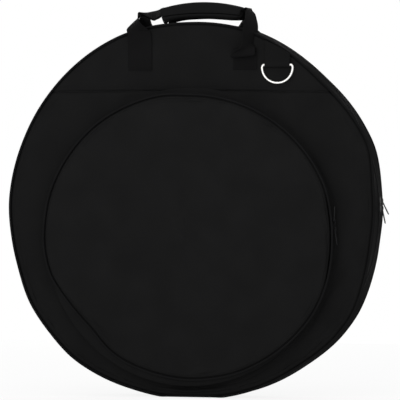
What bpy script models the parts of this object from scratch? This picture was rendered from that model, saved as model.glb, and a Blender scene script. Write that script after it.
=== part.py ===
"""A round padded cymbal bag: two shells that meet at a zip round the gusset, with a pocket, a wrap grip and D-rings.

The bag stands on its flat base. The front faces -Y, +X is to the right and +Z is up. The origin is in the middle of the
base, on the plane of the main zip, where the hinge line of the lid lies.
"""

import math
from dataclasses import dataclass

import bmesh
import bpy
from mathutils import Vector

# Driving sizes of the bag, in metres. A share is a part of the bag's radius.
BAG_RADIUS = 0.2905
BAG_DEPTH = 0.062
BASE_FLAT = 0.0025
SEAM_SHARE = 0.63339

# Cloth, foam and the clearance between neighbours.
FIT = 0.0003
CLOTH = 0.0012
LINING = 0.0008
FOAM = 0.005
WALL_FOAM = 0.003
PIPING_RADIUS = 0.00175
PIPING_PROUD = 0.001
PIPING_FRONT_PROUD = 0.00075

# The zips, which have the same tape, chain and sliders.
CHAIN_GAP = 0.0014
CHAIN_WIDTH = 0.0027
CHAIN_HEIGHT = 0.002
TAPE_THICKNESS = 0.0008
TAPE_WIDTH = 0.0135
POCKET_TAPE_WIDTH = 0.008
ZIP_MOUTH = 0.011
ZIP_START = math.radians(-50)
ZIP_END = math.radians(230)
CHAIN_CLEARANCE = 0.0005
TAPE_CLEARANCE = 0.0008
SLIDER_LENGTH = 0.0115
SLIDER_PLATE = 0.001
SLIDER_FLANGE = 0.0007
SLIDER_POST = 0.0008
BRIDGE_WIDTH = 0.0024
BRIDGE_LENGTH = 0.0095
BRIDGE_HEIGHT = 0.0042
BRIDGE_BAR = 0.001
PULL_PIN_HEIGHT = 0.0021
PULL_LENGTH = 0.0245
PULL_WIDTH = 0.0056
PULL_THICKNESS = 0.0012
PULL_PIN = 0.0013
PULL_RAIL = 0.0012
PULL_WINDOW = 0.0068
PULL_HOLE_RADIUS = 0.0011
PULL_SIDES = 8

# Where the two sliders of each zip meet, above the middle of its ring, and how far each pull stands off.
MAIN_MEETING_HEIGHT = 0.010
POCKET_MEETING_HEIGHT = 0.021
MAIN_UPPER_TILT = math.radians(23)
MAIN_LOWER_TILT = math.radians(11)
POCKET_UPPER_TILT = math.radians(171)
POCKET_LOWER_TILT = math.radians(5)

# The front pocket.
POCKET_SHARE = 0.77866
POCKET_DEPTH = 0.024
POCKET_BELOW_SHARE = 0.14974
POCKET_RISE = 0.006
POCKET_FOAM = 0.003
POCKET_MOUTH = 0.0106

# The handle: two straps that meet in a wrap grip.
STRAP_WIDTH = 0.0378
STRAP_THICKNESS = 0.0018
HANDLE_SHIFT = 0.0035
LEG_SPACING = 0.1668
GRIP_SHIFT = 0.0135
GRIP_LENGTH = 0.13
MOUTH_LEAD = 0.0075
GRIP_TOP_HEIGHT = 0.0314
GRIP_TOP_RADIUS = 0.232
SLOT_SIDE = 0.0005
CROWN_WALL = 0.0034
ARCH_WALL = 0.0052
GRIP_HEIGHT = 0.0258
LIP = 0.0015
HOOK = 0.0007
FLAP_WALL = 0.0026
FLAP_FRONT_DROP = 0.0093
FLAP_HINGE_SHARE = 0.5
GRIP_STATIONS = 12

# The D-rings and the tabs that hold them.
RING_WIRE = 0.002
RING_HALF_WIDTH = 0.024
RING_HEIGHT = 0.0276
RING_ACROSS_SHARE = 0.47608
RING_POINTS = 14
TAB_WIDTH = 0.039
TAB_THICKNESS = 0.0016
TAB_LEAN = 0.011
TAB_DROP = 0.01676
TAB_POINTS = 8

# How round things are divided.
RIM_STEPS = 64
DOME_STEPS = 48
DOME_RINGS = 4

# Derived places.
HALF_DEPTH = BAG_DEPTH / 2
CENTRE_HEIGHT = BAG_RADIUS - BASE_FLAT
WALL_INNER = BAG_RADIUS - CLOTH
TAPE_OUTER = WALL_INNER - FIT
PAD_INNER = TAPE_OUTER - WALL_FOAM
PIPING_PATH = BAG_RADIUS + PIPING_PROUD - PIPING_RADIUS
PIPING_PLACE = HALF_DEPTH + PIPING_FRONT_PROUD - PIPING_RADIUS
WALL_FAR = PIPING_PLACE - PIPING_RADIUS - FIT
PANEL_RADIUS = PIPING_PATH - PIPING_RADIUS - FIT
PANEL_INSIDE = HALF_DEPTH - CLOTH
FOAM_FAR = PANEL_INSIDE - FIT
LINING_FAR = FOAM_FAR - FOAM - FIT
SEAM_HEIGHT = BAG_RADIUS * SEAM_SHARE
POCKET_RADIUS = BAG_RADIUS * POCKET_SHARE
POCKET_CENTRE = CENTRE_HEIGHT - BAG_RADIUS * POCKET_BELOW_SHARE
RING_ACROSS = BAG_RADIUS * RING_ACROSS_SHARE
RING_BAR_HEIGHT = math.sqrt(PANEL_RADIUS**2 - (RING_ACROSS + TAB_WIDTH / 2) ** 2) - TAB_DROP
BAG_TOP = CENTRE_HEIGHT + BAG_RADIUS + PIPING_PROUD
LEFT_AND_RIGHT = (-1, 1)
QUARTER = math.radians(90)
FULL_TURN = math.radians(360)
FLAT_TO_FRONT = (QUARTER, 0, 0)
FLAT_TO_SIDE = (QUARTER, 0, QUARTER)
FLAT_ALONG_RIM = (2 * QUARTER, 0, QUARTER)

# Finishes: colour, roughness and metallic value.
CANVAS = ((0.011, 0.011, 0.0115), 0.85, 0.0)
POCKET_CANVAS = ((0.013, 0.013, 0.0135), 0.85, 0.0)
WEBBING = ((0.008, 0.0075, 0.0078), 0.75, 0.0)
PIPING = ((0.012, 0.012, 0.0125), 0.7, 0.0)
PADDING = ((0.05, 0.05, 0.052), 0.95, 0.0)
LINING_CLOTH = ((0.02, 0.02, 0.021), 0.8, 0.0)
ZIP_TAPE = ((0.009, 0.009, 0.0095), 0.8, 0.0)
ZIP_CHAIN = ((0.012, 0.012, 0.012), 0.45, 0.0)
BLACK_METAL = ((0.02, 0.02, 0.02), 0.4, 0.9)
NICKEL = ((0.62, 0.61, 0.58), 0.28, 1.0)
GRIP_CLOTH = ((0.014, 0.014, 0.0145), 0.8, 0.0)
HOOK_TAPE = ((0.015, 0.015, 0.015), 0.95, 0.0)


@dataclass(frozen=True)
class Ring:
    """A round outline that a zip runs along: its middle, the plane of its zip, its radius and whether it has a flat."""

    height: float
    plane: float
    radius: float
    flat: bool


BAG = Ring(CENTRE_HEIGHT, 0, BAG_RADIUS, True)
POCKET = Ring(POCKET_CENTRE, -HALF_DEPTH - POCKET_DEPTH / 2, POCKET_RADIUS, False)


def clear_scene():
    """Remove every object that the scene starts with."""
    for obj in list(bpy.data.objects):
        bpy.data.objects.remove(obj, do_unlink=True)


def collection(name):
    """Make a collection under the scene's own."""
    made = bpy.data.collections.new(name)
    bpy.context.scene.collection.children.link(made)
    return made


def material(name, look):
    """Make a Principled material from a finish."""
    colour, roughness, metallic = look
    made = bpy.data.materials.new(name)
    made.use_nodes = True
    shader = made.node_tree.nodes["Principled BSDF"]
    shader.inputs["Base Color"].default_value = (*colour, 1)
    shader.inputs["Roughness"].default_value = roughness
    shader.inputs["Metallic"].default_value = metallic
    made.diffuse_color = (*colour, 1)
    return made


def add_object(name, data, look, pivot=None, place=(0, 0, 0), turn=(0, 0, 0)):
    """Put a piece in the bag's collection with its own material, at a place under its pivot."""
    obj = bpy.data.objects.new(name, data)
    data.materials.append(material(name + "_finish", look))
    PARTS.objects.link(obj)
    obj.location = place
    obj.rotation_euler = turn
    obj.parent = pivot
    return obj


def pivot_at(name, place, turn=(0, 0, 0), parent=None):
    """An empty on a joint's axis, for the pieces that turn about it."""
    empty = bpy.data.objects.new(name, None)
    PARTS.objects.link(empty)
    empty.location = place
    empty.rotation_euler = turn
    empty.parent = parent
    return empty


def cut_from_sheet(name, loops, thickness, look, pivot=None, place=(0, 0, 0), turn=FLAT_TO_FRONT):
    """A flat piece: closed outlines filled between them, as thick as asked, laid in the plane that turn gives."""
    curve = bpy.data.curves.new(name, "CURVE")
    curve.dimensions = "2D"
    curve.fill_mode = "BOTH"
    curve.extrude = thickness / 2
    for points in loops:
        spline = curve.splines.new("POLY")
        spline.points.add(len(points) - 1)
        for point, (across, up) in zip(spline.points, points):
            point.co = (across, up, 0, 1)
        spline.use_cyclic_u = True
    return add_object(name, curve, look, pivot, place, turn)


def tube(name, points, radius, look, pivot=None, place=(0, 0, 0), turn=FLAT_TO_FRONT, sides=1):
    """A closed round wire through points in one plane."""
    curve = bpy.data.curves.new(name, "CURVE")
    curve.dimensions = "3D"
    curve.bevel_depth = radius
    curve.bevel_resolution = sides
    spline = curve.splines.new("POLY")
    spline.points.add(len(points) - 1)
    for point, (across, up) in zip(spline.points, points):
        point.co = (across, up, 0, 1)
    spline.use_cyclic_u = True
    return add_object(name, curve, look, pivot, place, turn)


def as_mesh(obj):
    """Turn a curve piece into a mesh piece with welded caps, so that it can be cut or joined."""
    bpy.context.view_layer.update()
    seen = obj.evaluated_get(bpy.context.evaluated_depsgraph_get())
    mesh = bpy.data.meshes.new_from_object(seen)
    shape = bmesh.new()
    shape.from_mesh(mesh)
    bmesh.ops.remove_doubles(shape, verts=shape.verts, dist=FIT / 30)
    bmesh.ops.recalc_face_normals(shape, faces=shape.faces)
    shape.to_mesh(mesh)
    shape.free()
    name, home, parent, matrix = obj.name, obj.users_collection[0], obj.parent, obj.matrix_basis.copy()
    bpy.data.objects.remove(obj, do_unlink=True)
    made = bpy.data.objects.new(name, mesh)
    home.objects.link(made)
    made.parent = parent
    made.matrix_basis = matrix
    return made


def hide_cutter(obj):
    """Move a helper to the cutters' collection, where the build leaves it out."""
    PARTS.objects.unlink(obj)
    CUTTERS.objects.link(obj)
    obj.hide_render = True
    obj.display_type = "WIRE"


def join_with(obj, other):
    """Fuse a helper into a piece with an exact union."""
    fuse = obj.modifiers.new("join", "BOOLEAN")
    fuse.operation = "UNION"
    fuse.solver = "EXACT"
    fuse.object = other
    hide_cutter(other)


def flat_distance(radius):
    """How far under the middle of the bag the flat of an outline at this radius lies."""
    return CENTRE_HEIGHT - (BAG_RADIUS - radius)


def shared_turns(start, end):
    """Both ends and the angles between them that every ring has its corners at, so that neighbours stay parallel."""
    step = FULL_TURN / RIM_STEPS
    first = math.floor(start / step) + 1
    last = math.ceil(end / step) - 1
    return [start] + [step * count for count in range(first, last + 1)] + [end]


def full_outline(radius, flat=None):
    """Points right round a circle, which stops at the base flat where there is one."""
    if flat is None:
        turns = shared_turns(0, FULL_TURN)[:-1]
    else:
        corner = math.acos(flat / radius)
        turns = shared_turns(corner - QUARTER, 3 * QUARTER - corner)
    return [(radius * math.cos(turn), radius * math.sin(turn)) for turn in turns]


def arc_outline(radius, flat, start, end):
    """Points along part of a circle from one angle to the other, cut off by the base flat where there is one."""
    turns = shared_turns(start, end)
    if flat is not None:
        corner = math.acos(flat / radius)
        low = 3 * QUARTER
        turns = [turn for turn in turns if abs(turn - low) > corner]
        turns += [turn for turn in (low - corner, low + corner) if start < turn < end]
        turns.sort()
    return [(radius * math.cos(turn), radius * math.sin(turn)) for turn in turns]


def ring_flat(ring, radius):
    """The flat that belongs to a radius of a ring, or None on a ring that has no flat."""
    return flat_distance(radius) if ring.flat else None


def place_between(ring, side, near, far):
    """Where a piece sits that reaches from near to far off the zip's plane, on the front side (-1) or the back (1)."""
    return (0, ring.plane + side * (near + far) / 2, ring.height)


def whole_band(name, ring, side, outer, inner, near, far, look, pivot):
    """A band that runs right round a ring."""
    loops = [full_outline(outer, ring_flat(ring, outer)), full_outline(inner, ring_flat(ring, inner))]
    place = place_between(ring, side, near, far)
    return cut_from_sheet(name, loops, far - near, look, pivot, place)


def part_band(name, ring, side, outer, inner, near, far, start, end, look, pivot):
    """A band along part of a ring."""
    loop = arc_outline(outer, ring_flat(ring, outer), start, end)
    loop += reversed(arc_outline(inner, ring_flat(ring, inner), start, end))
    place = place_between(ring, side, near, far)
    return cut_from_sheet(name, [loop], far - near, look, pivot, place)


def zip_half(prefix, ring, side, tape_width, look_tape, look_chain, pivot):
    """One half of a zip: its tape under the edge of the gusset, and its row of teeth as a plain chain."""
    tape_outer = ring.radius - CLOTH - FIT
    tape_inner = tape_outer - TAPE_THICKNESS
    near = CHAIN_GAP / 2
    half = "front" if side < 0 else "back"
    part_band(
        f"{prefix}_zip_tape_{half}", ring, side, tape_outer, tape_inner, near, near + tape_width,
        ZIP_START, ZIP_END, look_tape, pivot,
    )
    part_band(
        f"{prefix}_zip_chain_{half}", ring, side, tape_outer + FIT + CHAIN_HEIGHT, tape_outer + FIT,
        near, near + CHAIN_WIDTH, ZIP_START, ZIP_END, look_chain, pivot,
    )


def gusset_half(prefix, ring, side, far, mouth, look, pivot):
    """One half of a gusset: the band beside the zip, and the plain web that joins both halves where the zip ends."""
    half = "front" if side < 0 else "back"
    inner = ring.radius - CLOTH
    part_band(
        f"{prefix}_gusset_{half}", ring, side, ring.radius, inner, mouth / 2, far,
        ZIP_START, ZIP_END, look, pivot,
    )
    gap = FIT / ring.radius
    part_band(
        f"{prefix}_base_web_{half}", ring, side, ring.radius, inner, FIT, far,
        ZIP_END + gap, FULL_TURN + ZIP_START - gap, look, pivot,
    )


def rim_piping(name, ring, side, place, look, pivot):
    """The covered cord in the seam between a panel and its gusset."""
    path = ring.radius + PIPING_PROUD - PIPING_RADIUS
    flat = CENTRE_HEIGHT - PIPING_RADIUS - FIT if ring.flat else None
    middle = (0, ring.plane + side * place, ring.height)
    return tube(name, full_outline(path, flat), PIPING_RADIUS, look, pivot, middle)


def panel_flat():
    """How far under the middle of the bag a panel ends, above the piping of the base."""
    return CENTRE_HEIGHT - 2 * PIPING_RADIUS - 2 * FIT


def shell(side, pivot):
    """The layers of one shell, from its outer cloth to its lining, with its gusset, piping and half of the main zip."""
    half = "front" if side < 0 else "back"
    if side > 0:
        loops = [full_outline(PANEL_RADIUS, panel_flat())]
        place = place_between(BAG, side, PANEL_INSIDE, HALF_DEPTH)
        cut_from_sheet("back_panel", loops, CLOTH, CANVAS, pivot, place)
    else:
        front_cloth(pivot)
    foam_radius = PAD_INNER - FIT
    loops = [full_outline(foam_radius, flat_distance(foam_radius))]
    place = place_between(BAG, side, FOAM_FAR - FOAM, FOAM_FAR)
    cut_from_sheet(f"{half}_foam", loops, FOAM, PADDING, pivot, place)
    place = place_between(BAG, side, LINING_FAR - LINING, LINING_FAR)
    cut_from_sheet(f"{half}_lining", loops, LINING, LINING_CLOTH, pivot, place)
    pad_near = CHAIN_GAP / 2 + TAPE_WIDTH + FIT
    whole_band(
        f"gusset_padding_{half}", BAG, side, TAPE_OUTER, PAD_INNER, pad_near, WALL_FAR, PADDING, pivot
    )
    gusset_half("main", BAG, side, WALL_FAR, ZIP_MOUTH, CANVAS, pivot)
    zip_half("main", BAG, side, TAPE_WIDTH, ZIP_TAPE, ZIP_CHAIN, pivot)
    rim_piping(f"{half}_piping", BAG, side, PIPING_PLACE, PIPING, pivot)


def front_cloth(pivot):
    """The front panel's outer cloth: an upper yoke and a lower panel, which meet at a straight seam."""
    place = place_between(BAG, -1, PANEL_INSIDE, HALF_DEPTH)
    upper_start = math.asin((SEAM_HEIGHT + FIT / 2) / PANEL_RADIUS)
    upper = arc_outline(PANEL_RADIUS, None, upper_start, 2 * QUARTER - upper_start)
    cut_from_sheet("front_yoke", [upper], CLOTH, CANVAS, pivot, place)
    lower_start = math.asin((SEAM_HEIGHT - FIT / 2) / PANEL_RADIUS)
    lower = arc_outline(PANEL_RADIUS, panel_flat(), 2 * QUARTER - lower_start, FULL_TURN + lower_start)
    cut_from_sheet("front_panel", [lower], CLOTH, CANVAS, pivot, place)


def dome(name, radius, far, thickness, look, pivot):
    """A round sheet that swells towards the front, turned from a profile with its edge at far off the pocket's zip."""
    rise = POCKET_RISE
    shares = [ring / DOME_RINGS for ring in range(DOME_RINGS + 1)]
    top = [(radius * share, rise * (1 - share**2)) for share in shares]
    under = [(across, up - thickness) for across, up in reversed(top)]
    mesh = bpy.data.meshes.new(name)
    shape = bmesh.new()
    points = [shape.verts.new((across, 0, up)) for across, up in top + under]
    for first, second in zip(points, points[1:]):
        shape.edges.new((first, second))
    shape.to_mesh(mesh)
    shape.free()
    place = (0, POCKET.plane - far, POCKET.height)
    obj = add_object(name, mesh, look, pivot, place, FLAT_TO_FRONT)
    turn = obj.modifiers.new("turn", "SCREW")
    turn.steps = DOME_STEPS
    turn.render_steps = DOME_STEPS
    turn.use_merge_vertices = True
    turn.merge_threshold = 0.00001
    return obj


def pocket(lid, flap):
    """The front pocket: its back half is sewn to the front panel, and its face folds down about its lowest point."""
    half = POCKET_DEPTH / 2
    piping_place = half + PIPING_FRONT_PROUD - PIPING_RADIUS
    gusset_half("pocket", POCKET, 1, half - FIT, POCKET_MOUTH, CANVAS, lid)
    zip_half("pocket", POCKET, 1, POCKET_TAPE_WIDTH, ZIP_TAPE, ZIP_CHAIN, lid)
    gusset_half("pocket", POCKET, -1, piping_place - PIPING_RADIUS - FIT, POCKET_MOUTH, CANVAS, flap)
    zip_half("pocket", POCKET, -1, POCKET_TAPE_WIDTH, ZIP_TAPE, ZIP_CHAIN, flap)
    rim_piping("pocket_piping", POCKET, -1, piping_place, PIPING, flap)
    path = POCKET_RADIUS + PIPING_PROUD - PIPING_RADIUS
    face_radius = path - PIPING_RADIUS - FIT
    dome("pocket_face", face_radius, half, CLOTH, POCKET_CANVAS, flap)
    foam_radius = POCKET_RADIUS - CLOTH - FIT - TAPE_THICKNESS - FIT
    dome("pocket_padding", foam_radius, half - CLOTH - FIT, POCKET_FOAM, PADDING, flap)


def slider(prefix, ring, angle, tilt, parent):
    """A zip slider: two plates joined by a post between the chains, flanges over the tape, a bridge and its pull."""
    pivot = pivot_at(f"{prefix}_slider_pivot", (0, ring.plane, ring.height), (0, -angle, 0), parent)
    tape_outer = ring.radius - CLOTH - FIT
    plate_low = tape_outer + FIT + CHAIN_HEIGHT + CHAIN_CLEARANCE
    plate_high = plate_low + SLIDER_PLATE
    under_high = tape_outer - TAPE_THICKNESS - TAPE_CLEARANCE
    under_low = under_high - SLIDER_PLATE
    flange_low = tape_outer + CHAIN_CLEARANCE
    inner = CHAIN_GAP / 2 + CHAIN_WIDTH + CHAIN_CLEARANCE
    outer = inner + SLIDER_FLANGE
    post = SLIDER_POST / 2
    upper = [(post, plate_low), (inner, plate_low), (inner, flange_low), (outer, flange_low), (outer, plate_high)]
    lower = [(outer, under_low), (outer, under_high), (post, under_high)]
    section = upper + [(-across, up) for across, up in reversed(upper)]
    section += [(-across, up) for across, up in reversed(lower)] + lower
    body = cut_from_sheet(
        f"{prefix}_slider", [section], SLIDER_LENGTH, BLACK_METAL, pivot, turn=FLAT_ALONG_RIM
    )
    body = as_mesh(body)
    half = BRIDGE_LENGTH / 2
    shoulder = half - BRIDGE_HEIGHT / 2
    seat = plate_high - SLIDER_PLATE / 2
    peak = plate_high + BRIDGE_HEIGHT
    outside = [(seat, -half), (plate_high, -half), (peak, -shoulder), (peak, shoulder), (plate_high, half), (seat, half)]
    bar = BRIDGE_BAR
    inside = [
        (seat, half - bar), (plate_high, half - bar), (peak - bar, shoulder - bar / 2),
        (peak - bar, bar / 2 - shoulder), (plate_high, bar - half), (seat, bar - half),
    ]
    bridge = cut_from_sheet(
        f"{prefix}_slider_bridge", [outside + inside], BRIDGE_WIDTH, BLACK_METAL, pivot, turn=FLAT_TO_FRONT
    )
    bridge = as_mesh(bridge)
    join_with(body, bridge)
    pin = plate_high + PULL_PIN_HEIGHT
    pull_pivot = pivot_at(f"{prefix}_pull_pivot", (pin, 0, 0), (0, -tilt, 0), pivot)
    pull_tab(f"{prefix}_pull", pull_pivot)
    return pivot


def pull_tab(name, pivot):
    """A flat zip pull: a window that goes over the bridge, and a small hole near its tip."""
    half = PULL_WIDTH / 2
    pin = PULL_PIN / 2
    shoulder = PULL_WIDTH / 4
    tip = pin - PULL_LENGTH
    outline = [
        (-half, pin), (-half, tip + shoulder), (-half + shoulder, tip),
        (half - shoulder, tip), (half, tip + shoulder), (half, pin),
    ]
    rail = half - PULL_RAIL
    window = [(-rail, -pin), (rail, -pin), (rail, -PULL_WINDOW), (-rail, -PULL_WINDOW)]
    middle = tip + 2 * shoulder
    hole = [
        (PULL_HOLE_RADIUS * math.cos(turn), middle + PULL_HOLE_RADIUS * math.sin(turn))
        for turn in (FULL_TURN * step / PULL_SIDES for step in range(PULL_SIDES))
    ]
    cut_from_sheet(name, [outline, window, hole], PULL_THICKNESS, BLACK_METAL, pivot, turn=FLAT_TO_SIDE)


def slider_pair(prefix, ring, meeting, upper_tilt, lower_tilt, parent):
    """Two sliders nose to nose, where the zip is closed."""
    middle = math.asin(meeting / ring.radius)
    apart = (SLIDER_LENGTH + FIT) / 2 / ring.radius
    slider(f"{prefix}_upper", ring, middle + apart, upper_tilt, parent)
    slider(f"{prefix}_lower", ring, middle - apart, lower_tilt, parent)


def ring_and_tab(prefix, side, carrier):
    """A D-ring that hangs in a fold of webbing sewn to a face, at the right of the front or the left of the back."""
    inner = RING_WIRE + FIT
    outer = inner + TAB_THICKNESS
    off_plane = HALF_DEPTH + FIT + outer
    across = -side * RING_ACROSS
    bar = (across, side * off_plane, CENTRE_HEIGHT + RING_BAR_HEIGHT)
    lap = TAB_THICKNESS - inner + FIT
    rise = RING_WIRE / 2
    low = [
        (math.cos(turn), -math.sin(turn))
        for turn in (2 * QUARTER * (1 - step / TAB_POINTS) for step in range(TAB_POINTS + 1))
    ]
    sections = []
    for end in LEFT_AND_RIGHT:
        local = end * TAB_WIDTH / 2
        top = math.sqrt(PANEL_RADIUS**2 - (across + local) ** 2) - RING_BAR_HEIGHT
        outline = [(-outer, top)]
        outline += [(outer * share, outer * drop) for share, drop in low]
        outline += [(outer, rise), (lap, TAB_LEAN), (lap, top)]
        outline += [(lap - TAB_THICKNESS, top), (lap - TAB_THICKNESS, TAB_LEAN), (inner, rise)]
        outline += [(inner * share, inner * drop) for share, drop in reversed(low)]
        outline += [(-inner, top)]
        sections.append([(local, side * out, up) for out, up in outline])
    loft(f"{prefix}_ring_tab", sections, WEBBING, carrier, bar)
    pivot = pivot_at(f"{prefix}_d_ring_pivot", bar, parent=carrier)
    drop = RING_HEIGHT - RING_HALF_WIDTH
    wire = [(-RING_HALF_WIDTH, 0), (RING_HALF_WIDTH, 0)]
    wire += [
        (RING_HALF_WIDTH * math.cos(turn), -drop - RING_HALF_WIDTH * math.sin(turn))
        for turn in (2 * QUARTER * step / RING_POINTS for step in range(RING_POINTS + 1))
    ]
    tube(f"{prefix}_d_ring", wire, RING_WIRE, NICKEL, pivot, sides=2)


# The way of a strap's leg from its sewn end on a face to the mouth of the grip. Each row has how far out it lies from
# the leg's own line, as a share of the strap's width, how far it has come from the face to the middle of the bag, how
# far it has risen from the seam to the rim and from the rim to the grip's mouth, its share of a quarter turn, and how
# far it has parted from the other strap. The last row lies a fixed way outside the mouth instead.
LEG_SHARES = (
    (0.0, 0.0, 0.0, 0.0, 0.0, 0.0),
    (0.0, 0.0, 0.4, 0.0, 0.0, 0.0),
    (0.0, -0.03, 0.75, 0.0, 0.0, 0.0),
    (0.05, -0.1, 0.95, 0.0, 0.03, 0.0),
    (0.14, -0.11, 1.0, 0.06, 0.2, 0.0),
    (0.22, -0.02, 1.0, 0.28, 0.48, 0.0),
    (0.22, 0.14, 1.0, 0.52, 0.7, 0.8),
    (0.13, 0.38, 1.0, 0.8, 0.88, 1.6),
    (0.02, 0.62, 1.0, 1.0, 1.0, 1.6),
    (0.0, 0.9, 1.0, 1.1, 1.0, 1.5),
)


def grip_place(across, lift):
    """A point on the arc that the grip follows, lifted off the plane between both straps."""
    centre = BAG_TOP + GRIP_TOP_HEIGHT - GRIP_TOP_RADIUS
    radius = GRIP_TOP_RADIUS - crown() + lift
    turn = across / (GRIP_TOP_RADIUS - crown())
    return (GRIP_SHIFT + radius * math.sin(turn), centre + radius * math.cos(turn))


def slot_half():
    """Half the height of the grip's slot, which holds both straps."""
    return STRAP_THICKNESS + FIT * 1.5


def crown():
    """How far the top of the grip lies over the plane between the straps."""
    return slot_half() + CROWN_WALL


def leg(side, face, lift):
    """Stations up one leg of a strap: its middle and its turn. side is -1 on the left, face -1 on the front."""
    leg_across = HANDLE_SHIFT + side * LEG_SPACING / 2
    off_face = face * (HALF_DEPTH + FIT + STRAP_THICKNESS / 2)
    seam = CENTRE_HEIGHT + SEAM_HEIGHT + FIT
    rim = CENTRE_HEIGHT + math.sqrt(BAG_RADIUS**2 - leg_across**2)
    mouth_across, mouth = grip_place(side * GRIP_LENGTH / 2, 0)
    middles = []
    for out, inward, up, over, _turned, _parted in LEG_SHARES:
        across = leg_across + side * out * STRAP_WIDTH
        height = seam + (rim - seam) * up + (mouth - rim) * over
        middles.append(Vector((across, off_face * (1 - inward), height)))
    middles[-1].x = mouth_across + side * MOUTH_LEAD
    middles.append(Vector((mouth_across, 0, mouth)))
    found = []
    for step, (middle, shares) in enumerate(zip(middles, LEG_SHARES)):
        way = middles[step + 1] - middles[max(step - 1, 0)]
        normal = Vector((side * way.z, 0, -side * way.x)).normalized()
        found.append((middle + normal * lift * shares[-1], shares[-2]))
    return found


def strap(name, face, pivot):
    """One handle strap: up a leg, through the grip with its width along the bag's depth, and down the other leg."""
    lift = (STRAP_THICKNESS + FIT) / 2 * -face
    stations = [(middle, turned, -1) for middle, turned in leg(-1, face, lift)]
    for step in range(GRIP_STATIONS + 1):
        along = GRIP_LENGTH * (step / GRIP_STATIONS - 1 / 2)
        across, height = grip_place(along, lift)
        stations.append((Vector((across, 0, height)), 1.0, -1))
    stations += [(middle, turned, 1) for middle, turned in reversed(leg(1, face, lift))]
    mesh = bpy.data.meshes.new(name)
    shape = bmesh.new()
    rows = []
    for middle, turned, side in stations:
        angle = QUARTER * turned
        edge = Vector((-side * math.cos(angle), face * math.sin(angle), 0)) * (STRAP_WIDTH / 2)
        rows.append((shape.verts.new(middle - edge), shape.verts.new(middle + edge)))
    for (low_a, low_b), (high_a, high_b) in zip(rows, rows[1:]):
        shape.faces.new((low_a, low_b, high_b, high_a))
    shape.to_mesh(mesh)
    shape.free()
    obj = add_object(name, mesh, WEBBING, pivot)
    wall = obj.modifiers.new("thickness", "SOLIDIFY")
    wall.thickness = STRAP_THICKNESS
    wall.offset = 0
    return obj


def loft(name, sections, look, pivot, place):
    """A closed solid through sections with as many points each, capped at both ends."""
    mesh = bpy.data.meshes.new(name)
    shape = bmesh.new()
    rows = [[shape.verts.new(point) for point in section] for section in sections]
    count = len(rows[0])
    for first, second in zip(rows, rows[1:]):
        for one in range(count):
            two = (one + 1) % count
            shape.faces.new((first[one], first[two], second[two], second[one]))
    shape.faces.new(list(reversed(rows[0])))
    shape.faces.new(rows[-1])
    bmesh.ops.recalc_face_normals(shape, faces=shape.faces)
    shape.to_mesh(mesh)
    shape.free()
    return add_object(name, mesh, look, pivot, place)


def pad_section(droop):
    """The wrap's section as points (out of the middle, over the straps' plane). droop scales how low its sides hang."""
    slot = STRAP_WIDTH / 2 + SLOT_SIDE
    gap = slot_half()
    half = grip_half_width()
    top = crown()
    low = (GRIP_HEIGHT - top) * droop
    arch = gap + ARCH_WALL
    hinge = FLAP_HINGE_SHARE * half
    edge = FLAP_FRONT_DROP * droop
    lip = slot + LIP
    return [
        (-slot, -gap), (slot, -gap), (slot, gap), (hinge, gap), (hinge, 0.93 * top), (0.7 * half, 0.85 * top),
        (0.92 * half, 0.25 * top), (half, -0.25 * low), (0.97 * half, -0.6 * low), (0.83 * half, -0.9 * low),
        (0.65 * half, -low), (0.5 * half, -0.86 * low), (0.35 * half, -arch - (low - arch) / 4),
        (0.22 * half, -arch), (-0.22 * half, -arch), (-0.35 * half, -arch - (low - arch) / 4),
        (-0.5 * half, -0.86 * low), (-0.65 * half, -low), (-0.83 * half, -0.9 * low),
        (-0.96 * half, -(edge + low) / 2), (-0.96 * half, -edge - 2 * FIT),
        (-lip, -edge - 2 * FIT), (-lip, -gap), (-(slot + lip) / 2, 0), (-slot, -gap / 2),
    ]


def grip_half_width():
    """Half the depth of the grip, from the slot out through the lip, the hook and loop and the flap."""
    return STRAP_WIDTH / 2 + SLOT_SIDE + LIP + 2 * HOOK + 3 * FIT + FLAP_WALL


def flap_section(droop):
    """The closing flap's section: from its hinge over the top and down the front of the wrap."""
    slot = STRAP_WIDTH / 2 + SLOT_SIDE
    gap = slot_half()
    half = grip_half_width()
    top = crown()
    edge = FLAP_FRONT_DROP * droop
    hinge = FLAP_HINGE_SHARE * half - FIT
    inner = half - FLAP_WALL
    return [
        (hinge, gap), (hinge, 0.93 * top), (0.2 * half, 0.99 * top), (-0.15 * half, top), (-0.5 * half, 0.94 * top),
        (-0.8 * half, 0.74 * top), (-0.94 * half, 0.25 * top), (-half, -edge / 2), (-half, -edge),
        (-inner, -edge), (-inner, 0), (-slot, gap),
    ]


def hook_section(layer, droop):
    """The section of the hook strip on the lip (layer 0) or of the loop strip inside the flap (layer 1)."""
    start = STRAP_WIDTH / 2 + SLOT_SIDE + LIP + FIT + layer * (HOOK + FIT)
    low = -FLAP_FRONT_DROP * droop * 0.85
    high = -slot_half()
    return [(-start, low), (-start, high), (-start - HOOK, high), (-start - HOOK, low)]


# How low the wrap hangs along its length, from the left end to the right one, as shares of its full height.
DROOP_SHARES = (0.82, 1.0, 1.03, 1.0, 1.0, 1.0, 1.0, 1.0, 1.0, 0.98, 0.94, 0.84, 0.66)


def grip_piece(name, section_of, first, last, look, pivot, place):
    """A piece of the grip: a section carried along its arc, from one of its stations to another."""
    sections = []
    for step in range(first, last + 1):
        along = GRIP_LENGTH * (step / GRIP_STATIONS - 1 / 2)
        points = []
        for out, over in section_of(DROOP_SHARES[step]):
            across, height = grip_place(along, over)
            points.append(Vector((across, out, height)) - Vector(place))
        sections.append(points)
    return loft(name, sections, look, pivot, place if pivot is None else (0, 0, 0))


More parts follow.
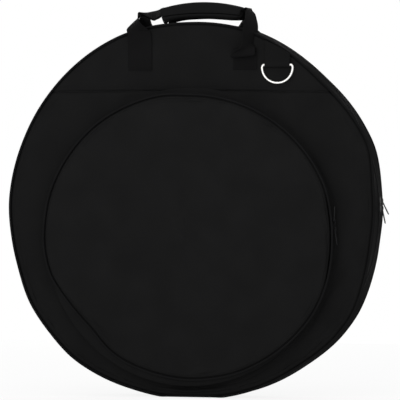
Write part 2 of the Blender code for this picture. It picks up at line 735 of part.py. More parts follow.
def grip():
    """The wrap grip: the padded wrap with its lip and hook strip, and the flap with its loop strip on a hinge."""
    hinge_out = FLAP_HINGE_SHARE * grip_half_width() - FIT / 2
    hinge_height = grip_place(0, crown())[1]
    hinge = (0, hinge_out, hinge_height)
    pivot = pivot_at("grip_flap_pivot", hinge)
    start = (0, 0, 0)
    last = GRIP_STATIONS
    grip_piece("grip_wrap", pad_section, 0, last, GRIP_CLOTH, None, start)
    grip_piece("grip_hook_strip", lambda droop: hook_section(0, droop), 2, last - 2, HOOK_TAPE, None, start)
    grip_piece("grip_flap", flap_section, 0, last, GRIP_CLOTH, pivot, hinge)
    grip_piece("grip_loop_strip", lambda droop: hook_section(1, droop), 2, last - 2, HOOK_TAPE, pivot, hinge)


clear_scene()
PARTS = collection("cymbal_bag")
CUTTERS = collection("cutters")


def main():
    """Build the bag."""
    lid = pivot_at("lid_pivot", (0, 0, 0))
    pocket_low = (0, POCKET.plane, POCKET.height - POCKET_RADIUS)
    flap = pivot_at("pocket_flap_pivot", pocket_low, parent=lid)
    shell(1, None)
    shell(-1, lid)
    flap_offset = pivot_at("pocket_flap_frame", [-value for value in pocket_low], parent=flap)
    pocket(lid, flap_offset)
    slider_pair("main", BAG, MAIN_MEETING_HEIGHT, MAIN_UPPER_TILT, MAIN_LOWER_TILT, None)
    slider_pair("pocket", POCKET, POCKET_MEETING_HEIGHT, POCKET_UPPER_TILT, POCKET_LOWER_TILT, lid)
    ring_and_tab("front", -1, lid)
    ring_and_tab("back", 1, None)
    strap("front_strap", -1, lid)
    strap("back_strap", 1, None)
    grip()


main()
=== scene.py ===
"""Looks of a round padded cymbal bag: cloth shells, zips, webbing straps, wrap grip, pocket and D-rings."""

import logging
import math
from collections.abc import Callable
from dataclasses import dataclass, field
from enum import Enum

import bmesh
import bpy
import numpy as np
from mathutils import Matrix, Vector


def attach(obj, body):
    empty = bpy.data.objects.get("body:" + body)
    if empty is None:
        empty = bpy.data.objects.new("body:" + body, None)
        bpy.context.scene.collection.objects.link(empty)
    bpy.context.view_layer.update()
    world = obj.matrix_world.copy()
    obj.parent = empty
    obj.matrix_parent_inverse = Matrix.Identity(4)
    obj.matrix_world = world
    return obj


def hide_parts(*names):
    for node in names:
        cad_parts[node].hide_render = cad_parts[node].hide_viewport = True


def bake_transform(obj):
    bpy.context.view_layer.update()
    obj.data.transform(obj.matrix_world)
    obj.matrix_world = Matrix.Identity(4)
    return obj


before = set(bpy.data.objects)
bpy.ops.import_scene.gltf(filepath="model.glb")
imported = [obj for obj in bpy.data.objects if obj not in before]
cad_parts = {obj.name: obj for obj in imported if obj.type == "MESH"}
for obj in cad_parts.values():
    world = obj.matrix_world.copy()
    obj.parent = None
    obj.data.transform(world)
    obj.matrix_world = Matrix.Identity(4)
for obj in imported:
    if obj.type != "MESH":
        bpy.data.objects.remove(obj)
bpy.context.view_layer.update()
LOG = logging.getLogger("cymbal_bag")

MM = 0.001
CENTRE_Z = 0.288
RADIUS = 0.2905
POCKET_Z = 0.2445
POCKET_Y = -0.043
POCKET_R = 0.2262
HALF_DEPTH = 0.031
MADE: dict[str, bpy.types.Material] = {}


class Side(Enum):
    """The half of the bag that a piece belongs to."""

    FRONT = -1
    BACK = 1

    @property
    def label(self) -> str:
        """The word for this half in the names of its pieces."""
        return self.name.lower()


class Body(Enum):
    """The rigid bodies of the bag, as the record names them."""

    BACK = "back_shell"
    LID = "lid"
    FLAP = "pocket_flap"
    GRIP_FLAP = "grip_flap"


class Weave(Enum):
    """How a cloth is woven."""

    PLAIN = "plain"
    RIBBED = "ribbed"
    FLEECE = "fleece"


# Small helpers -----------------------------------------------------------------


def new_object(name: str, data: bpy.types.ID) -> bpy.types.Object:
    """Put new data in the scene as an object."""
    obj = bpy.data.objects.new(name, data)
    bpy.context.scene.collection.objects.link(obj)
    return obj


def baked_mesh(source: bpy.types.Object) -> bpy.types.Mesh:
    """The plain mesh that an object's curve or modifiers give; the object itself is removed."""
    bpy.context.view_layer.update()
    mesh = bpy.data.meshes.new_from_object(source.evaluated_get(bpy.context.evaluated_depsgraph_get()))
    bpy.data.objects.remove(source, do_unlink=True)
    return mesh


def corners_of(mesh: bpy.types.Mesh) -> np.ndarray:
    """The mesh's points, one row each."""
    co = np.empty(len(mesh.vertices) * 3)
    mesh.vertices.foreach_get("co", co)
    return co.reshape(-1, 3)


def feed(tree: bpy.types.NodeTree, node: bpy.types.Node, feeds: dict[str | int, object]) -> None:
    """Fill inputs of a node, each with a value or, from a socket, with a link."""
    for key, value in feeds.items():
        if isinstance(value, bpy.types.NodeSocket):
            tree.links.new(value, node.inputs[key])
        else:
            node.inputs[key].default_value = value


def add_node(
    tree: bpy.types.NodeTree, kind: str, feeds: dict[str | int, object] | None = None, **settings: str,
) -> bpy.types.Node:
    """Add a node to a tree.

    Args:
        tree: The tree.
        kind: The node's type.
        feeds: What goes into its inputs, by their name or number.
        **settings: The node's own options.

    Returns:
        The new node.
    """
    made = tree.nodes.new(kind)
    for name, value in settings.items():
        setattr(made, name, value)
    feed(tree, made, feeds or {})
    return made


def new_material(name: str) -> tuple[bpy.types.Material, bpy.types.NodeTree, bpy.types.Node]:
    """A new material, its tree and its shader."""
    made = MADE[name] = bpy.data.materials.new(name)
    made.use_nodes = True
    return made, made.node_tree, made.node_tree.nodes["Principled BSDF"]


def full_turn(count: int) -> np.ndarray:
    """Angles all the way round, in radians."""
    return np.linspace(0, 2 * math.pi, count, endpoint=False)


def circle(across: float, along: float, radius: float, count: int = 14) -> list[tuple[float, float]]:
    """Points round a circle."""
    return [(across + radius * math.cos(a), along + radius * math.sin(a)) for a in full_turn(count)]


def in_metres(points: list[tuple[float, float]], side: int, plane: float = 0.0) -> np.ndarray:
    """A section drawn in millimetres as radius and distance from a plane, in metres and on its own side."""
    return np.array([(r * MM, plane + side * y * MM) for r, y in points])


def give_wall(sheet: bpy.types.Object, thickness: float) -> None:
    """Give a single layer of cloth its thickness, inwards."""
    wall = sheet.modifiers.new("wall", "SOLIDIFY")
    wall.thickness = thickness
    wall.offset = -1


# Finishes ----------------------------------------------------------------------


@dataclass(frozen=True)
class Cloth:
    """A woven finish that follows the piece's own UV map, which is in metres."""

    name: str
    colour: tuple[float, float, float]
    weave: Weave = Weave.PLAIN
    pitch: float = 0.0009
    roughness: float = 0.85
    specular: float = 0.02
    sheen: float = 0.0
    bump: float = 0.25
    variation: float = 0.09

    def material(self) -> bpy.types.Material:
        """Make the material once, and hand out the same one afterwards.

        Returns:
            The node material of this cloth.
        """
        if self.name in MADE:
            return MADE[self.name]
        made, tree, shader = new_material(self.name)
        place = add_node(tree, "ShaderNodeTexCoord")
        cloud = add_node(tree, "ShaderNodeTexNoise", {"Scale": 22, "Detail": 5, "Vector": place.outputs["Object"]})
        ramp = add_node(tree, "ShaderNodeValToRGB", {"Fac": cloud.outputs["Fac"]})
        for stop, position, share in ((0, 0.3, 1 - self.variation), (1, 0.7, 1 + self.variation)):
            ramp.color_ramp.elements[stop].position = position
            ramp.color_ramp.elements[stop].color = (*(c * share for c in self.colour), 1)
        bump = add_node(tree, "ShaderNodeBump", {
            "Strength": self.bump, "Distance": self.pitch * 0.3, "Height": self._height(tree, place),
        })
        feed(tree, shader, {
            "Roughness": self.roughness, "Specular IOR Level": self.specular, "Sheen Weight": self.sheen,
            "Sheen Roughness": 0.45, "Base Color": ramp.outputs["Color"], "Normal": bump.outputs["Normal"],
        })
        return made

    def _height(self, tree: bpy.types.NodeTree, place: bpy.types.Node) -> bpy.types.NodeSocket:
        """Height of the threads as a socket.

        Args:
            tree: The material's tree.
            place: The texture coordinate node.

        Returns:
            The socket that holds the height.
        """
        if self.weave is Weave.FLEECE:
            sizes = {"Scale": 1 / self.pitch, "Detail": 3, "Vector": place.outputs["Object"]}
            return add_node(tree, "ShaderNodeTexNoise", sizes).outputs["Fac"]
        split = add_node(tree, "ShaderNodeSeparateXYZ", {"Vector": place.outputs["UV"]})
        waves = {}
        for slot, axis in enumerate(("X", "Y")):
            turns = {0: split.outputs[axis], 1: 2 * math.pi / self.pitch}
            scaled = add_node(tree, "ShaderNodeMath", turns, operation="MULTIPLY")
            waves[slot] = add_node(tree, "ShaderNodeMath", {0: scaled.outputs[0]}, operation="SINE").outputs[0]
        joining = "MULTIPLY" if self.weave is Weave.PLAIN else "MAXIMUM"
        return add_node(tree, "ShaderNodeMath", waves, operation=joining).outputs[0]


@dataclass(frozen=True)
class Hard:
    """A plated, painted or moulded finish with slight wear."""

    name: str
    colour: tuple[float, float, float]
    roughness: float
    metallic: float = 0.0
    specular: float = 0.4
    wear: float = 0.12

    def material(self) -> bpy.types.Material:
        """Make the material once, and hand out the same one afterwards.

        Returns:
            The node material of this finish.
        """
        if self.name in MADE:
            return MADE[self.name]
        made, tree, shader = new_material(self.name)
        place = add_node(tree, "ShaderNodeTexCoord")
        spots = add_node(tree, "ShaderNodeTexNoise", {"Scale": 160, "Detail": 4, "Vector": place.outputs["Object"]})
        spread = add_node(tree, "ShaderNodeMapRange", {
            "From Min": 0.3, "From Max": 0.7, "To Min": max(self.roughness - self.wear, 0.05),
            "To Max": self.roughness + self.wear, "Value": spots.outputs["Fac"],
        })
        feed(tree, shader, {
            "Base Color": (*self.colour, 1), "Metallic": self.metallic, "Specular IOR Level": self.specular,
            "Roughness": spread.outputs["Result"],
        })
        return made


CANVAS = Cloth("shell_cloth", (0.0078, 0.0078, 0.0079))
POCKET_CANVAS = Cloth("pocket_cloth", (0.0084, 0.0084, 0.0085))
TAB_WEB = Cloth("tab_webbing", (0.0076, 0.0076, 0.0077), Weave.RIBBED, 0.0012, 0.85, 0.02, 0.0, 0.4)
GRIP_CANVAS = Cloth("grip_cover_cloth", (0.0078, 0.0078, 0.008))
WEBBING = Cloth("strap_webbing", (0.0058, 0.0057, 0.0059), Weave.RIBBED, 0.0016, 0.85, 0.03, 0.0, 0.5)
TAPE = Cloth("zip_tape_weave", (0.0065, 0.0065, 0.007), Weave.RIBBED, 0.0008, 0.85, 0.02)
PIPING = Cloth("piping_cloth", (0.007, 0.007, 0.0072), Weave.PLAIN, 0.0009, 0.85, 0.02)
LINING = Cloth("lining_cloth", (0.016, 0.016, 0.017), Weave.PLAIN, 0.0006, 0.7, 0.25)
FOAM = Cloth("padding_foam", (0.05, 0.05, 0.052), Weave.FLEECE, 0.0012, 0.95, 0.1)
FUZZ = Cloth("hook_and_loop", (0.012, 0.012, 0.012), Weave.FLEECE, 0.0008, 0.95, 0.1)
THREAD = Hard("stitch_thread", (0.0088, 0.0088, 0.009), 0.8, 0.0, 0.02, 0.1)
COIL = Hard("zip_teeth", (0.009, 0.009, 0.0095), 0.65, 0.0, 0.04, 0.1)
ENAMEL = Hard("slider_enamel", (0.009, 0.009, 0.0095), 0.5, 0.0, 0.12, 0.1)
NICKEL = Hard("ring_nickel", (0.62, 0.61, 0.59), 0.3, 1.0, 0.5, 0.08)


# Shape helpers -----------------------------------------------------------------


def smoothstep(value: np.ndarray | float, low: float, high: float) -> np.ndarray | float:
    """Blend from 0 at low to 1 at high."""
    share = np.clip((value - low) / (high - low), 0, 1)
    return share * share * (3 - 2 * share)


def catmull(points: np.ndarray, steps: int, closed: bool = False) -> np.ndarray:
    """A smooth line through points.

    Args:
        points: One row for each point.
        steps: New points in each span.
        closed: Whether the line returns to its start.

    Returns:
        The points of the smooth line, with the given points among them.
    """
    points = np.asarray(points, float)
    count = len(points)
    spans = count if closed else count - 1
    out = []
    for span in range(spans):
        pick = [span - 1, span, span + 1, span + 2]
        if closed:
            p0, p1, p2, p3 = (points[k % count] for k in pick)
        else:
            p0, p1, p2, p3 = (points[min(max(k, 0), count - 1)] for k in pick)
        bend, twist = 2 * p0 - 5 * p1 + 4 * p2 - p3, 3 * p1 - p0 - 3 * p2 + p3
        for step in range(steps):
            t = step / steps
            out.append(0.5 * (2 * p1 + (p2 - p0) * t + bend * t**2 + twist * t**3))
    if not closed:
        out.append(points[-1])
    return np.array(out)


def rounded(points: list[tuple[float, float]], radius: float, steps: int = 3) -> np.ndarray:
    """A closed outline with its corners rounded.

    Args:
        points: The outline's corners.
        radius: How far along each edge a corner's round starts.
        steps: Points in each round.

    Returns:
        The rounded outline.
    """
    corners = np.asarray(points, float)
    out = []
    for index, corner in enumerate(corners):
        before, after = corners[index - 1] - corner, corners[(index + 1) % len(corners)] - corner
        first = corner + before * min(radius / np.linalg.norm(before), 0.45)
        last = corner + after * min(radius / np.linalg.norm(after), 0.45)
        for step in range(steps + 1):
            t = step / steps
            out.append((1 - t) ** 2 * first + 2 * t * (1 - t) * corner + t**2 * last)
    return np.array(out)


def grid_object(
    name: str, grid: np.ndarray, finish: Cloth | Hard, loop_rows: bool = False, loop_columns: bool = False,
    caps: bool = False, solid: bool = True,
) -> bpy.types.Object:
    """A mesh from rows of points, with a UV map in metres.

    Args:
        name: The object's name.
        grid: Points as rows x columns x 3.
        finish: The finish of the piece.
        loop_rows: Whether the last row joins the first.
        loop_columns: Whether the last column joins the first.
        caps: Whether the first and last row are filled.
        solid: Whether the result is a closed body, whose faces are turned outwards.

    Returns:
        The new object, in the scene.
    """
    rows, columns = grid.shape[:2]
    along = np.concatenate([[0], np.cumsum(np.linalg.norm(np.diff(grid, axis=0), axis=2).mean(1))])
    across = np.concatenate([[0], np.cumsum(np.linalg.norm(np.diff(grid, axis=1), axis=2).mean(0))])
    along = np.append(along, along[-1] + np.linalg.norm(grid[0] - grid[-1], axis=1).mean())
    across = np.append(across, across[-1] + np.linalg.norm(grid[:, 0] - grid[:, -1], axis=1).mean())
    faces, uvs = [], []
    for i in range(rows if loop_rows else rows - 1):
        ni = (i + 1) % rows
        for j in range(columns if loop_columns else columns - 1):
            nj = (j + 1) % columns
            faces.append((i * columns + j, i * columns + nj, ni * columns + nj, ni * columns + j))
            uvs += [(along[i + a], across[j + b]) for a, b in ((0, 0), (0, 1), (1, 1), (1, 0))]
    if caps:
        faces.append(tuple(reversed(range(columns))))
        faces.append(tuple((rows - 1) * columns + j for j in range(columns)))
        flat = np.column_stack([across[:columns], np.zeros(columns)])
        uvs += [tuple(uv) for uv in flat[::-1]] + [tuple(uv) for uv in flat]
    mesh = bpy.data.meshes.new(name)
    mesh.from_pydata(grid.reshape(-1, 3).tolist(), [], faces)
    layer = mesh.uv_layers.new(name="UVMap")
    layer.data.foreach_set("uv", np.array(uvs, np.float32).ravel())
    return add_piece(name, mesh, finish, solid)


def add_piece(name: str, mesh: bpy.types.Mesh, finish: Cloth | Hard, solid: bool = True) -> bpy.types.Object:
    """Put a finished mesh in the scene, smooth and with its faces outwards.

    Args:
        name: The object's name.
        mesh: Its mesh, in world coordinates.
        finish: The finish of the piece.
        solid: Whether the mesh is closed, so that its faces can be turned outwards.

    Returns:
        The new object.
    """
    shape = bmesh.new()
    shape.from_mesh(mesh)
    bmesh.ops.remove_doubles(shape, verts=shape.verts, dist=1e-6)
    if solid:
        bmesh.ops.recalc_face_normals(shape, faces=shape.faces)
    for face in shape.faces:
        face.smooth = True
    shape.to_mesh(mesh)
    shape.free()
    obj = new_object(name, mesh)
    mesh.materials.append(finish.material())
    mesh.set_sharp_from_angle(angle=math.radians(38))
    return obj


def join(name: str, parts: list[bpy.types.Object]) -> bpy.types.Object:
    """Join pieces of one finish into one object.

    Args:
        name: The name of the result.
        parts: The pieces, which are used up.

    Returns:
        The joined object.
    """
    with bpy.context.temp_override(active_object=parts[0], selected_editable_objects=parts, object=parts[0]):
        bpy.ops.object.join()
    parts[0].name = name
    return parts[0]


def dress(obj: bpy.types.Object, body: Body | str, slot: str, *nodes: str) -> bpy.types.Object:
    """Let a piece ride a body and stand for CAD nodes.

    Args:
        obj: The piece.
        body: The body that it rides.
        slot: The record's material slot; not used.
        nodes: The CAD nodes that it stands for.

    Returns:
        The same piece.
    """
    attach(obj, body.value if isinstance(body, Body) else body)
    if nodes:
        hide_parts(*nodes)
    LOG.info("%s: %d faces on %s", obj.name, len(obj.data.polygons), body)
    return obj


def ripple(first: np.ndarray, second: np.ndarray, size: float, seed: int) -> np.ndarray:
    """Gentle unevenness from a few crossed waves.

    Args:
        first: One coordinate of each point.
        second: The other coordinate.
        size: The length of the longest wave.
        seed: Picks the waves.

    Returns:
        A value from about -1 to 1 for each point.
    """
    pick = np.random.default_rng(seed)
    total = np.zeros_like(first, float)
    for _ in range(6):
        heading = pick.uniform(0, 2 * math.pi)
        wave = 2 * math.pi / (size * pick.uniform(0.35, 1.0))
        total += np.sin((first * math.cos(heading) + second * math.sin(heading)) * wave + pick.uniform(0, 6.3))
    return total / 3.2


def by_angle(turn: np.ndarray, table: tuple[tuple[float, float], ...], ease: int) -> np.ndarray:
    """Look up a value round a ring, eased between the table's rows.

    Args:
        turn: Angles in radians.
        table: Rows of an angle in degrees and its value.
        ease: Width of the easing in half degrees, an odd number.

    Returns:
        The eased value at each angle.
    """
    fine = np.linspace(0, 360, 721)
    coarse = np.interp(fine[:-1], [a for a, _ in table], [v for _, v in table], period=360)
    window = np.hanning(ease + 2)
    smooth = np.convolve(np.concatenate([coarse] * 3), window / window.sum(), "same")[720:1440]
    return np.interp(np.degrees(turn) % 360, fine[:-1], smooth, period=360)


@dataclass
class Relax:
    """A cloth simulation of a sewn sheet: it is pinned at its seams, grows a little and is pressed from inside."""

    frames: int = 20
    growth: float = 0.012
    pressure: float = 0.25
    cap: float = 0.0016
    quality: int = 5
    mass: float = 0.4
    stiffness: float = 12
    bending: float = 0.8

    def run(self, grid: np.ndarray, loop_rows: bool, pinned: np.ndarray, outward: np.ndarray) -> np.ndarray:
        """Let a sheet settle, and hand back its points.

        Args:
            grid: The sheet's points as rows x columns x 3.
            loop_rows: Whether the last row joins the first.
            pinned: For each point, 1 where it is sewn down and 0 where it is free.
            outward: The direction that the cloth is pressed to.

        Returns:
            The settled points, none of them moved further than the cap.
        """
        rows, columns = grid.shape[:2]
        index = np.arange(rows * columns).reshape(rows, columns)
        after = np.roll(index, -1, axis=0) if loop_rows else index[1:]
        before = index if loop_rows else index[:-1]
        faces = np.stack([before[:, :-1], before[:, 1:], after[:, 1:], after[:, :-1]], axis=2).reshape(-1, 4)
        mesh = bpy.data.meshes.new("relaxing")
        mesh.from_pydata(grid.reshape(-1, 3).tolist(), [], faces.tolist())
        sheet = new_object("relaxing", mesh)
        if mesh.polygons[len(mesh.polygons) // 2].normal.dot(Vector(outward)) < 0:
            mesh.flip_normals()
        seam = sheet.vertex_groups.new(name="seam")
        for weight in (0.25, 0.5, 0.75, 1.0):
            held = np.flatnonzero(np.abs(pinned.ravel() - weight) <= 0.125)
            seam.add(held.tolist(), weight, "REPLACE")
        cloth = sheet.modifiers.new("cloth", "CLOTH")
        settings = cloth.settings
        settings.vertex_group_mass = "seam"
        settings.quality = self.quality
        settings.mass = self.mass
        settings.shrink_min = -self.growth
        settings.tension_stiffness = settings.compression_stiffness = self.stiffness
        settings.bending_stiffness = self.bending
        settings.use_pressure = True
        settings.uniform_pressure_force = self.pressure
        settings.effector_weights.gravity = 0
        cloth.point_cache.frame_start = 1
        cloth.point_cache.frame_end = self.frames
        for frame_number in range(1, self.frames + 1):
            bpy.context.scene.frame_set(frame_number)
        seen = sheet.evaluated_get(bpy.context.evaluated_depsgraph_get())
        moved = np.empty(rows * columns * 3)
        seen.data.vertices.foreach_get("co", moved)
        bpy.data.objects.remove(sheet, do_unlink=True)
        bpy.context.scene.frame_set(1)
        step = moved.reshape(grid.shape) - grid
        length = np.linalg.norm(step, axis=2, keepdims=True)
        step *= self.cap * np.tanh(length / self.cap) / np.maximum(length, 1e-9)
        LOG.info("sheet of %d points settled by up to %.2f mm", rows * columns, float(length.max()) / MM)
        return grid + step


RELAX = Relax()


@dataclass(frozen=True)
class Settle:
    """How the soft shell has settled out of its round shape: named bulges of the rim, in metres, by their angle."""

    bulges: tuple[tuple[float, float], ...] = (
        (0, -0.001), (7, -0.001), (19, 0.004), (33, 0.0002), (45, -0.0038), (54, -0.0028), (73, 0.002),
        (92, -0.0004), (112, 0.003), (122, 0.0024), (140, 0.0008), (158, 0.0002), (168, 0.0012), (178, 0.0024),
        (188, 0.0008), (198, 0.0012), (209, 0.006), (220, 0.0056), (230, 0.0076), (240, 0.0046), (252, 0.0008),
        (270, 0.0), (292, 0.0022), (306, 0.0026), (318, 0.0066), (328, 0.0066), (341, 0.0008), (351, -0.0024),
    )
    forward: tuple[tuple[float, float], ...] = (
        (0, -0.0005), (8, 0.0), (20, 0.0045), (30, 0.0018), (40, -0.0006), (52, 0.0), (80, 0.0), (280, 0.0),
        (300, 0.0004), (310, 0.0014), (318, 0.003), (328, 0.004), (338, 0.0015), (346, 0.0),
    )

    def bulge(self, turn: np.ndarray) -> np.ndarray:
        """How far the rim stands out at each angle, in radians."""
        return by_angle(turn, self.bulges, 21)

    def move(self, points: np.ndarray) -> np.ndarray:
        """Move points of the shell to where they have settled.

        Args:
            points: Points in the row frame, in any shape that ends in 3.

        Returns:
            The moved points.
        """
        x, y, z = points[..., 0], points[..., 1], points[..., 2] - CENTRE_Z
        radius = np.hypot(x, z)
        turn = np.arctan2(z, x)
        share = smoothstep(np.abs(y), 0.006, 0.027)
        extra = by_angle(turn, self.forward, 21) * smoothstep(-y, 0.008, 0.029)
        out = (self.bulge(turn) * share + extra) * np.clip(radius / RADIUS, 0, 1.05) ** 3
        scale = 1 + out / np.maximum(radius, 1e-6)
        moved = points.copy()
        moved[..., 0] = x * scale
        lowest = np.minimum(points[..., 2], np.maximum(RADIUS - radius, 0))
        moved[..., 2] = np.maximum(CENTRE_Z + z * scale, lowest)
        return moved


SETTLE = Settle()


@dataclass(frozen=True)
class PocketLean:
    """How the pocket's soft front edge leans, while its zip keeps its circle: shifts of the edge by their angle."""

    shifts: tuple[tuple[float, float], ...] = (
        (0, 0.0024), (10, 0.0034), (20, 0.0056), (30, 0.0046), (45, 0.0025), (60, 0.0), (75, -0.0021),
        (90, -0.0031), (100, 0.0004), (115, 0.0016), (130, 0.0039), (150, 0.005), (163, 0.0058), (173, 0.0049),
        (181, 0.0049), (190, 0.0028), (195, 0.0004), (200, -0.0046), (205, -0.0094), (210, -0.0131),
        (215, -0.0159), (220, -0.0178), (225, -0.0178), (230, -0.0148), (235, -0.0124), (240, -0.0115),
        (250, -0.0115), (260, -0.0109), (270, -0.0091), (280, -0.008), (290, -0.0056), (300, -0.0042),
        (310, -0.0022), (320, 0.0003), (330, 0.0032), (340, 0.0039), (350, 0.003),
    )
    near: float = 0.0046
    far: float = 0.0094

    def move(self, points: np.ndarray) -> np.ndarray:
        """Move points of the pocket to where its edge has settled.

        Args:
            points: Points in the row frame, in any shape that ends in 3.

        Returns:
            The moved points.
        """
        x, z = points[..., 0], points[..., 2] - POCKET_Z
        radius = np.maximum(np.hypot(x, z), 1e-6)
        share = smoothstep(POCKET_Y - points[..., 1], self.near, self.far) * smoothstep(radius / POCKET_R, 0.3, 0.94)
        scale = 1 + by_angle(np.arctan2(z, x), self.shifts, 15) * share / radius
        moved = points.copy()
        moved[..., 0] = x * scale
        moved[..., 2] = POCKET_Z + z * scale
        return moved


LEAN = PocketLean()


def pinch(x: np.ndarray, z: np.ndarray) -> np.ndarray:
    """How strongly the cloth is gathered under the pocket, from 0 to 1, for points about the pocket's middle."""
    turn = np.degrees(np.arctan2(z, x)) % 360
    return smoothstep(turn, 258, 266) * (1 - smoothstep(turn, 279, 289))


def ring_grid(profile: np.ndarray, turns: np.ndarray, middle: float, flat: bool) -> np.ndarray:
    """Sweep a section round a ring.

    Args:
        profile: Points of the section as (radius, y).
        turns: Angles of the stations.
        middle: Height of the ring's middle.
        flat: Whether the ring is the shell's, which has the base flat, or the pocket's.

    Returns:
        Settled points as stations x section x 3.
    """
    radius, depth = profile[:, 0], profile[:, 1]
    x = np.cos(turns)[:, None] * radius[None]
    z = np.sin(turns)[:, None] * radius[None]
    if flat:
        z = np.maximum(z, -(CENTRE_Z - (RADIUS - radius))[None])
    grid = np.stack([x, np.broadcast_to(depth[None], x.shape), z + middle], axis=2)
    return SETTLE.move(grid) if flat else LEAN.move(grid)


def ring_line(
    radius: float, depth: float, start: float, end: float, middle: float, flat: bool, count: int = 400,
) -> np.ndarray:
    """A line of points along a ring, for stitches or teeth.

    Args:
        radius: The line's radius.
        depth: Its y.
        start: First angle in degrees.
        end: Last angle in degrees.
        middle: Height of the ring's middle.
        flat: Whether the ring is the shell's or the pocket's.
        count: How many points.

    Returns:
        The points, one row each.
    """
    turns = np.radians(np.linspace(start, end, count))
    return ring_grid(np.array([[radius, depth]]), turns, middle, flat)[:, 0]


# Geometry Nodes ----------------------------------------------------------------


def socket_id(tree: bpy.types.NodeTree, name: str) -> str:
    """The identifier of a tree's named input."""
    return next(s.identifier for s in tree.interface.items_tree if s.name == name and s.in_out == "INPUT")


def row_tree(name: str, finish: Hard | Cloth, teeth: bool) -> bpy.types.NodeTree:
    """A tree that sets small pieces along every line of its input.

    Args:
        name: The tree's name.
        finish: The finish of the small pieces.
        teeth: Whether they are zip teeth, which stand on the rim and point across it, or stitches.

    Returns:
        The node tree.
    """
    tree = bpy.data.node_groups.new(name, "GeometryNodeTree")
    face = tree.interface
    face.new_socket("Lines", in_out="INPUT", socket_type="NodeSocketGeometry")
    for label in ("Pitch", "Length", "Width", "Height", "Reach"):
        face.new_socket(label, in_out="INPUT", socket_type="NodeSocketFloat")
    face.new_socket("Middle", in_out="INPUT", socket_type="NodeSocketVector")
    face.new_socket("Pieces", in_out="OUTPUT", socket_type="NodeSocketGeometry")
    given = add_node(tree, "NodeGroupInput").outputs
    curve = add_node(tree, "GeometryNodeMeshToCurve", {"Mesh": given["Lines"]})
    spaced = add_node(tree, "GeometryNodeResampleCurve", mode="LENGTH")
    feed(tree, spaced, {"Curve": curve.outputs["Curve"], "Length": given["Pitch"]})
    tangent = add_node(tree, "GeometryNodeInputTangent").outputs["Tangent"]
    turned = add_node(tree, "FunctionNodeAlignRotationToVector", {"Vector": tangent}, axis="X")
    if teeth:
        here = add_node(tree, "GeometryNodeInputPosition").outputs["Position"]
        outward = add_node(tree, "ShaderNodeVectorMath", {0: here, 1: given["Middle"]}, operation="SUBTRACT")
        aims = {"Rotation": turned.outputs["Rotation"], "Vector": outward.outputs["Vector"]}
        turned = add_node(tree, "FunctionNodeAlignRotationToVector", aims, axis="Z", pivot_axis="X")
        stem = add_node(tree, "GeometryNodeMeshCube")
        head = add_node(tree, "GeometryNodeMeshUVSphere", {"Segments": 8, "Rings": 4, "Radius": 0.58})
        offset = add_node(tree, "ShaderNodeCombineXYZ", {"Y": given["Reach"]})
        moved = {"Geometry": head.outputs["Mesh"], "Translation": offset.outputs["Vector"]}
        shifted = add_node(tree, "GeometryNodeTransform", moved)
        both = add_node(tree, "GeometryNodeJoinGeometry", {"Geometry": stem.outputs["Mesh"]})
        feed(tree, both, {"Geometry": shifted.outputs["Geometry"]})
        shape = both.outputs["Geometry"]
    else:
        bead = add_node(tree, "GeometryNodeMeshUVSphere", {"Segments": 6, "Rings": 4, "Radius": 0.5})
        shape = bead.outputs["Mesh"]
    scale = add_node(tree, "ShaderNodeCombineXYZ", {"X": given["Length"], "Y": given["Width"], "Z": given["Height"]})
    place = add_node(tree, "GeometryNodeInstanceOnPoints", {
        "Points": spaced.outputs["Curve"], "Instance": shape, "Rotation": turned.outputs["Rotation"],
        "Scale": scale.outputs["Vector"],
    })
    real = add_node(tree, "GeometryNodeRealizeInstances", {"Geometry": place.outputs["Instances"]})
    finished = add_node(tree, "GeometryNodeSetMaterial", {
        "Material": finish.material(), "Geometry": real.outputs["Geometry"],
    })
    add_node(tree, "NodeGroupOutput", {"Pieces": finished.outputs["Geometry"]})
    return tree


@dataclass
class Rows:
    """Stitches or teeth set along lines by Geometry Nodes, as one plain mesh for each body."""

    name: str
    finish: Hard | Cloth
    pitch: float = 0.0034
    length: float = 0.0024
    width: float = 0.0007
    height: float = 0.0006
    reach: float = 0.0
    teeth: bool = False
    middle: tuple[float, float, float] = (0, 0, CENTRE_Z)
    lines: list[np.ndarray] = field(default_factory=list)

    def add(self, line: np.ndarray) -> None:
        """Add one line of points."""
        self.lines.append(np.asarray(line, float))

    def build(self) -> bpy.types.Object:
        """Turn the lines into small pieces.

        Returns:
            One object with all of them.
        """
        points, edges = [], []
        for line in self.lines:
            first = len(points)
            points += line.tolist()
            edges += [(first + k, first + k + 1) for k in range(len(line) - 1)]
        mesh = bpy.data.meshes.new(self.name + "_lines")
        mesh.from_pydata(points, edges, [])
        source = new_object(self.name + "_lines", mesh)
        tree = row_tree(self.name + "_tree", self.finish, self.teeth)
        maker = source.modifiers.new("rows", "NODES")
        maker.node_group = tree
        sizes = {
            "Pitch": self.pitch, "Length": self.length, "Width": self.width, "Height": self.height,
            "Reach": self.reach, "Middle": self.middle,
        }
        for label, value in sizes.items():
            maker[socket_id(tree, label)] = value
        made = baked_mesh(source)
        made.name = self.name
        for polygon in made.polygons:
            polygon.use_smooth = not self.teeth
        return new_object(self.name, made)


# Sub-assemblies ----------------------------------------------------------------


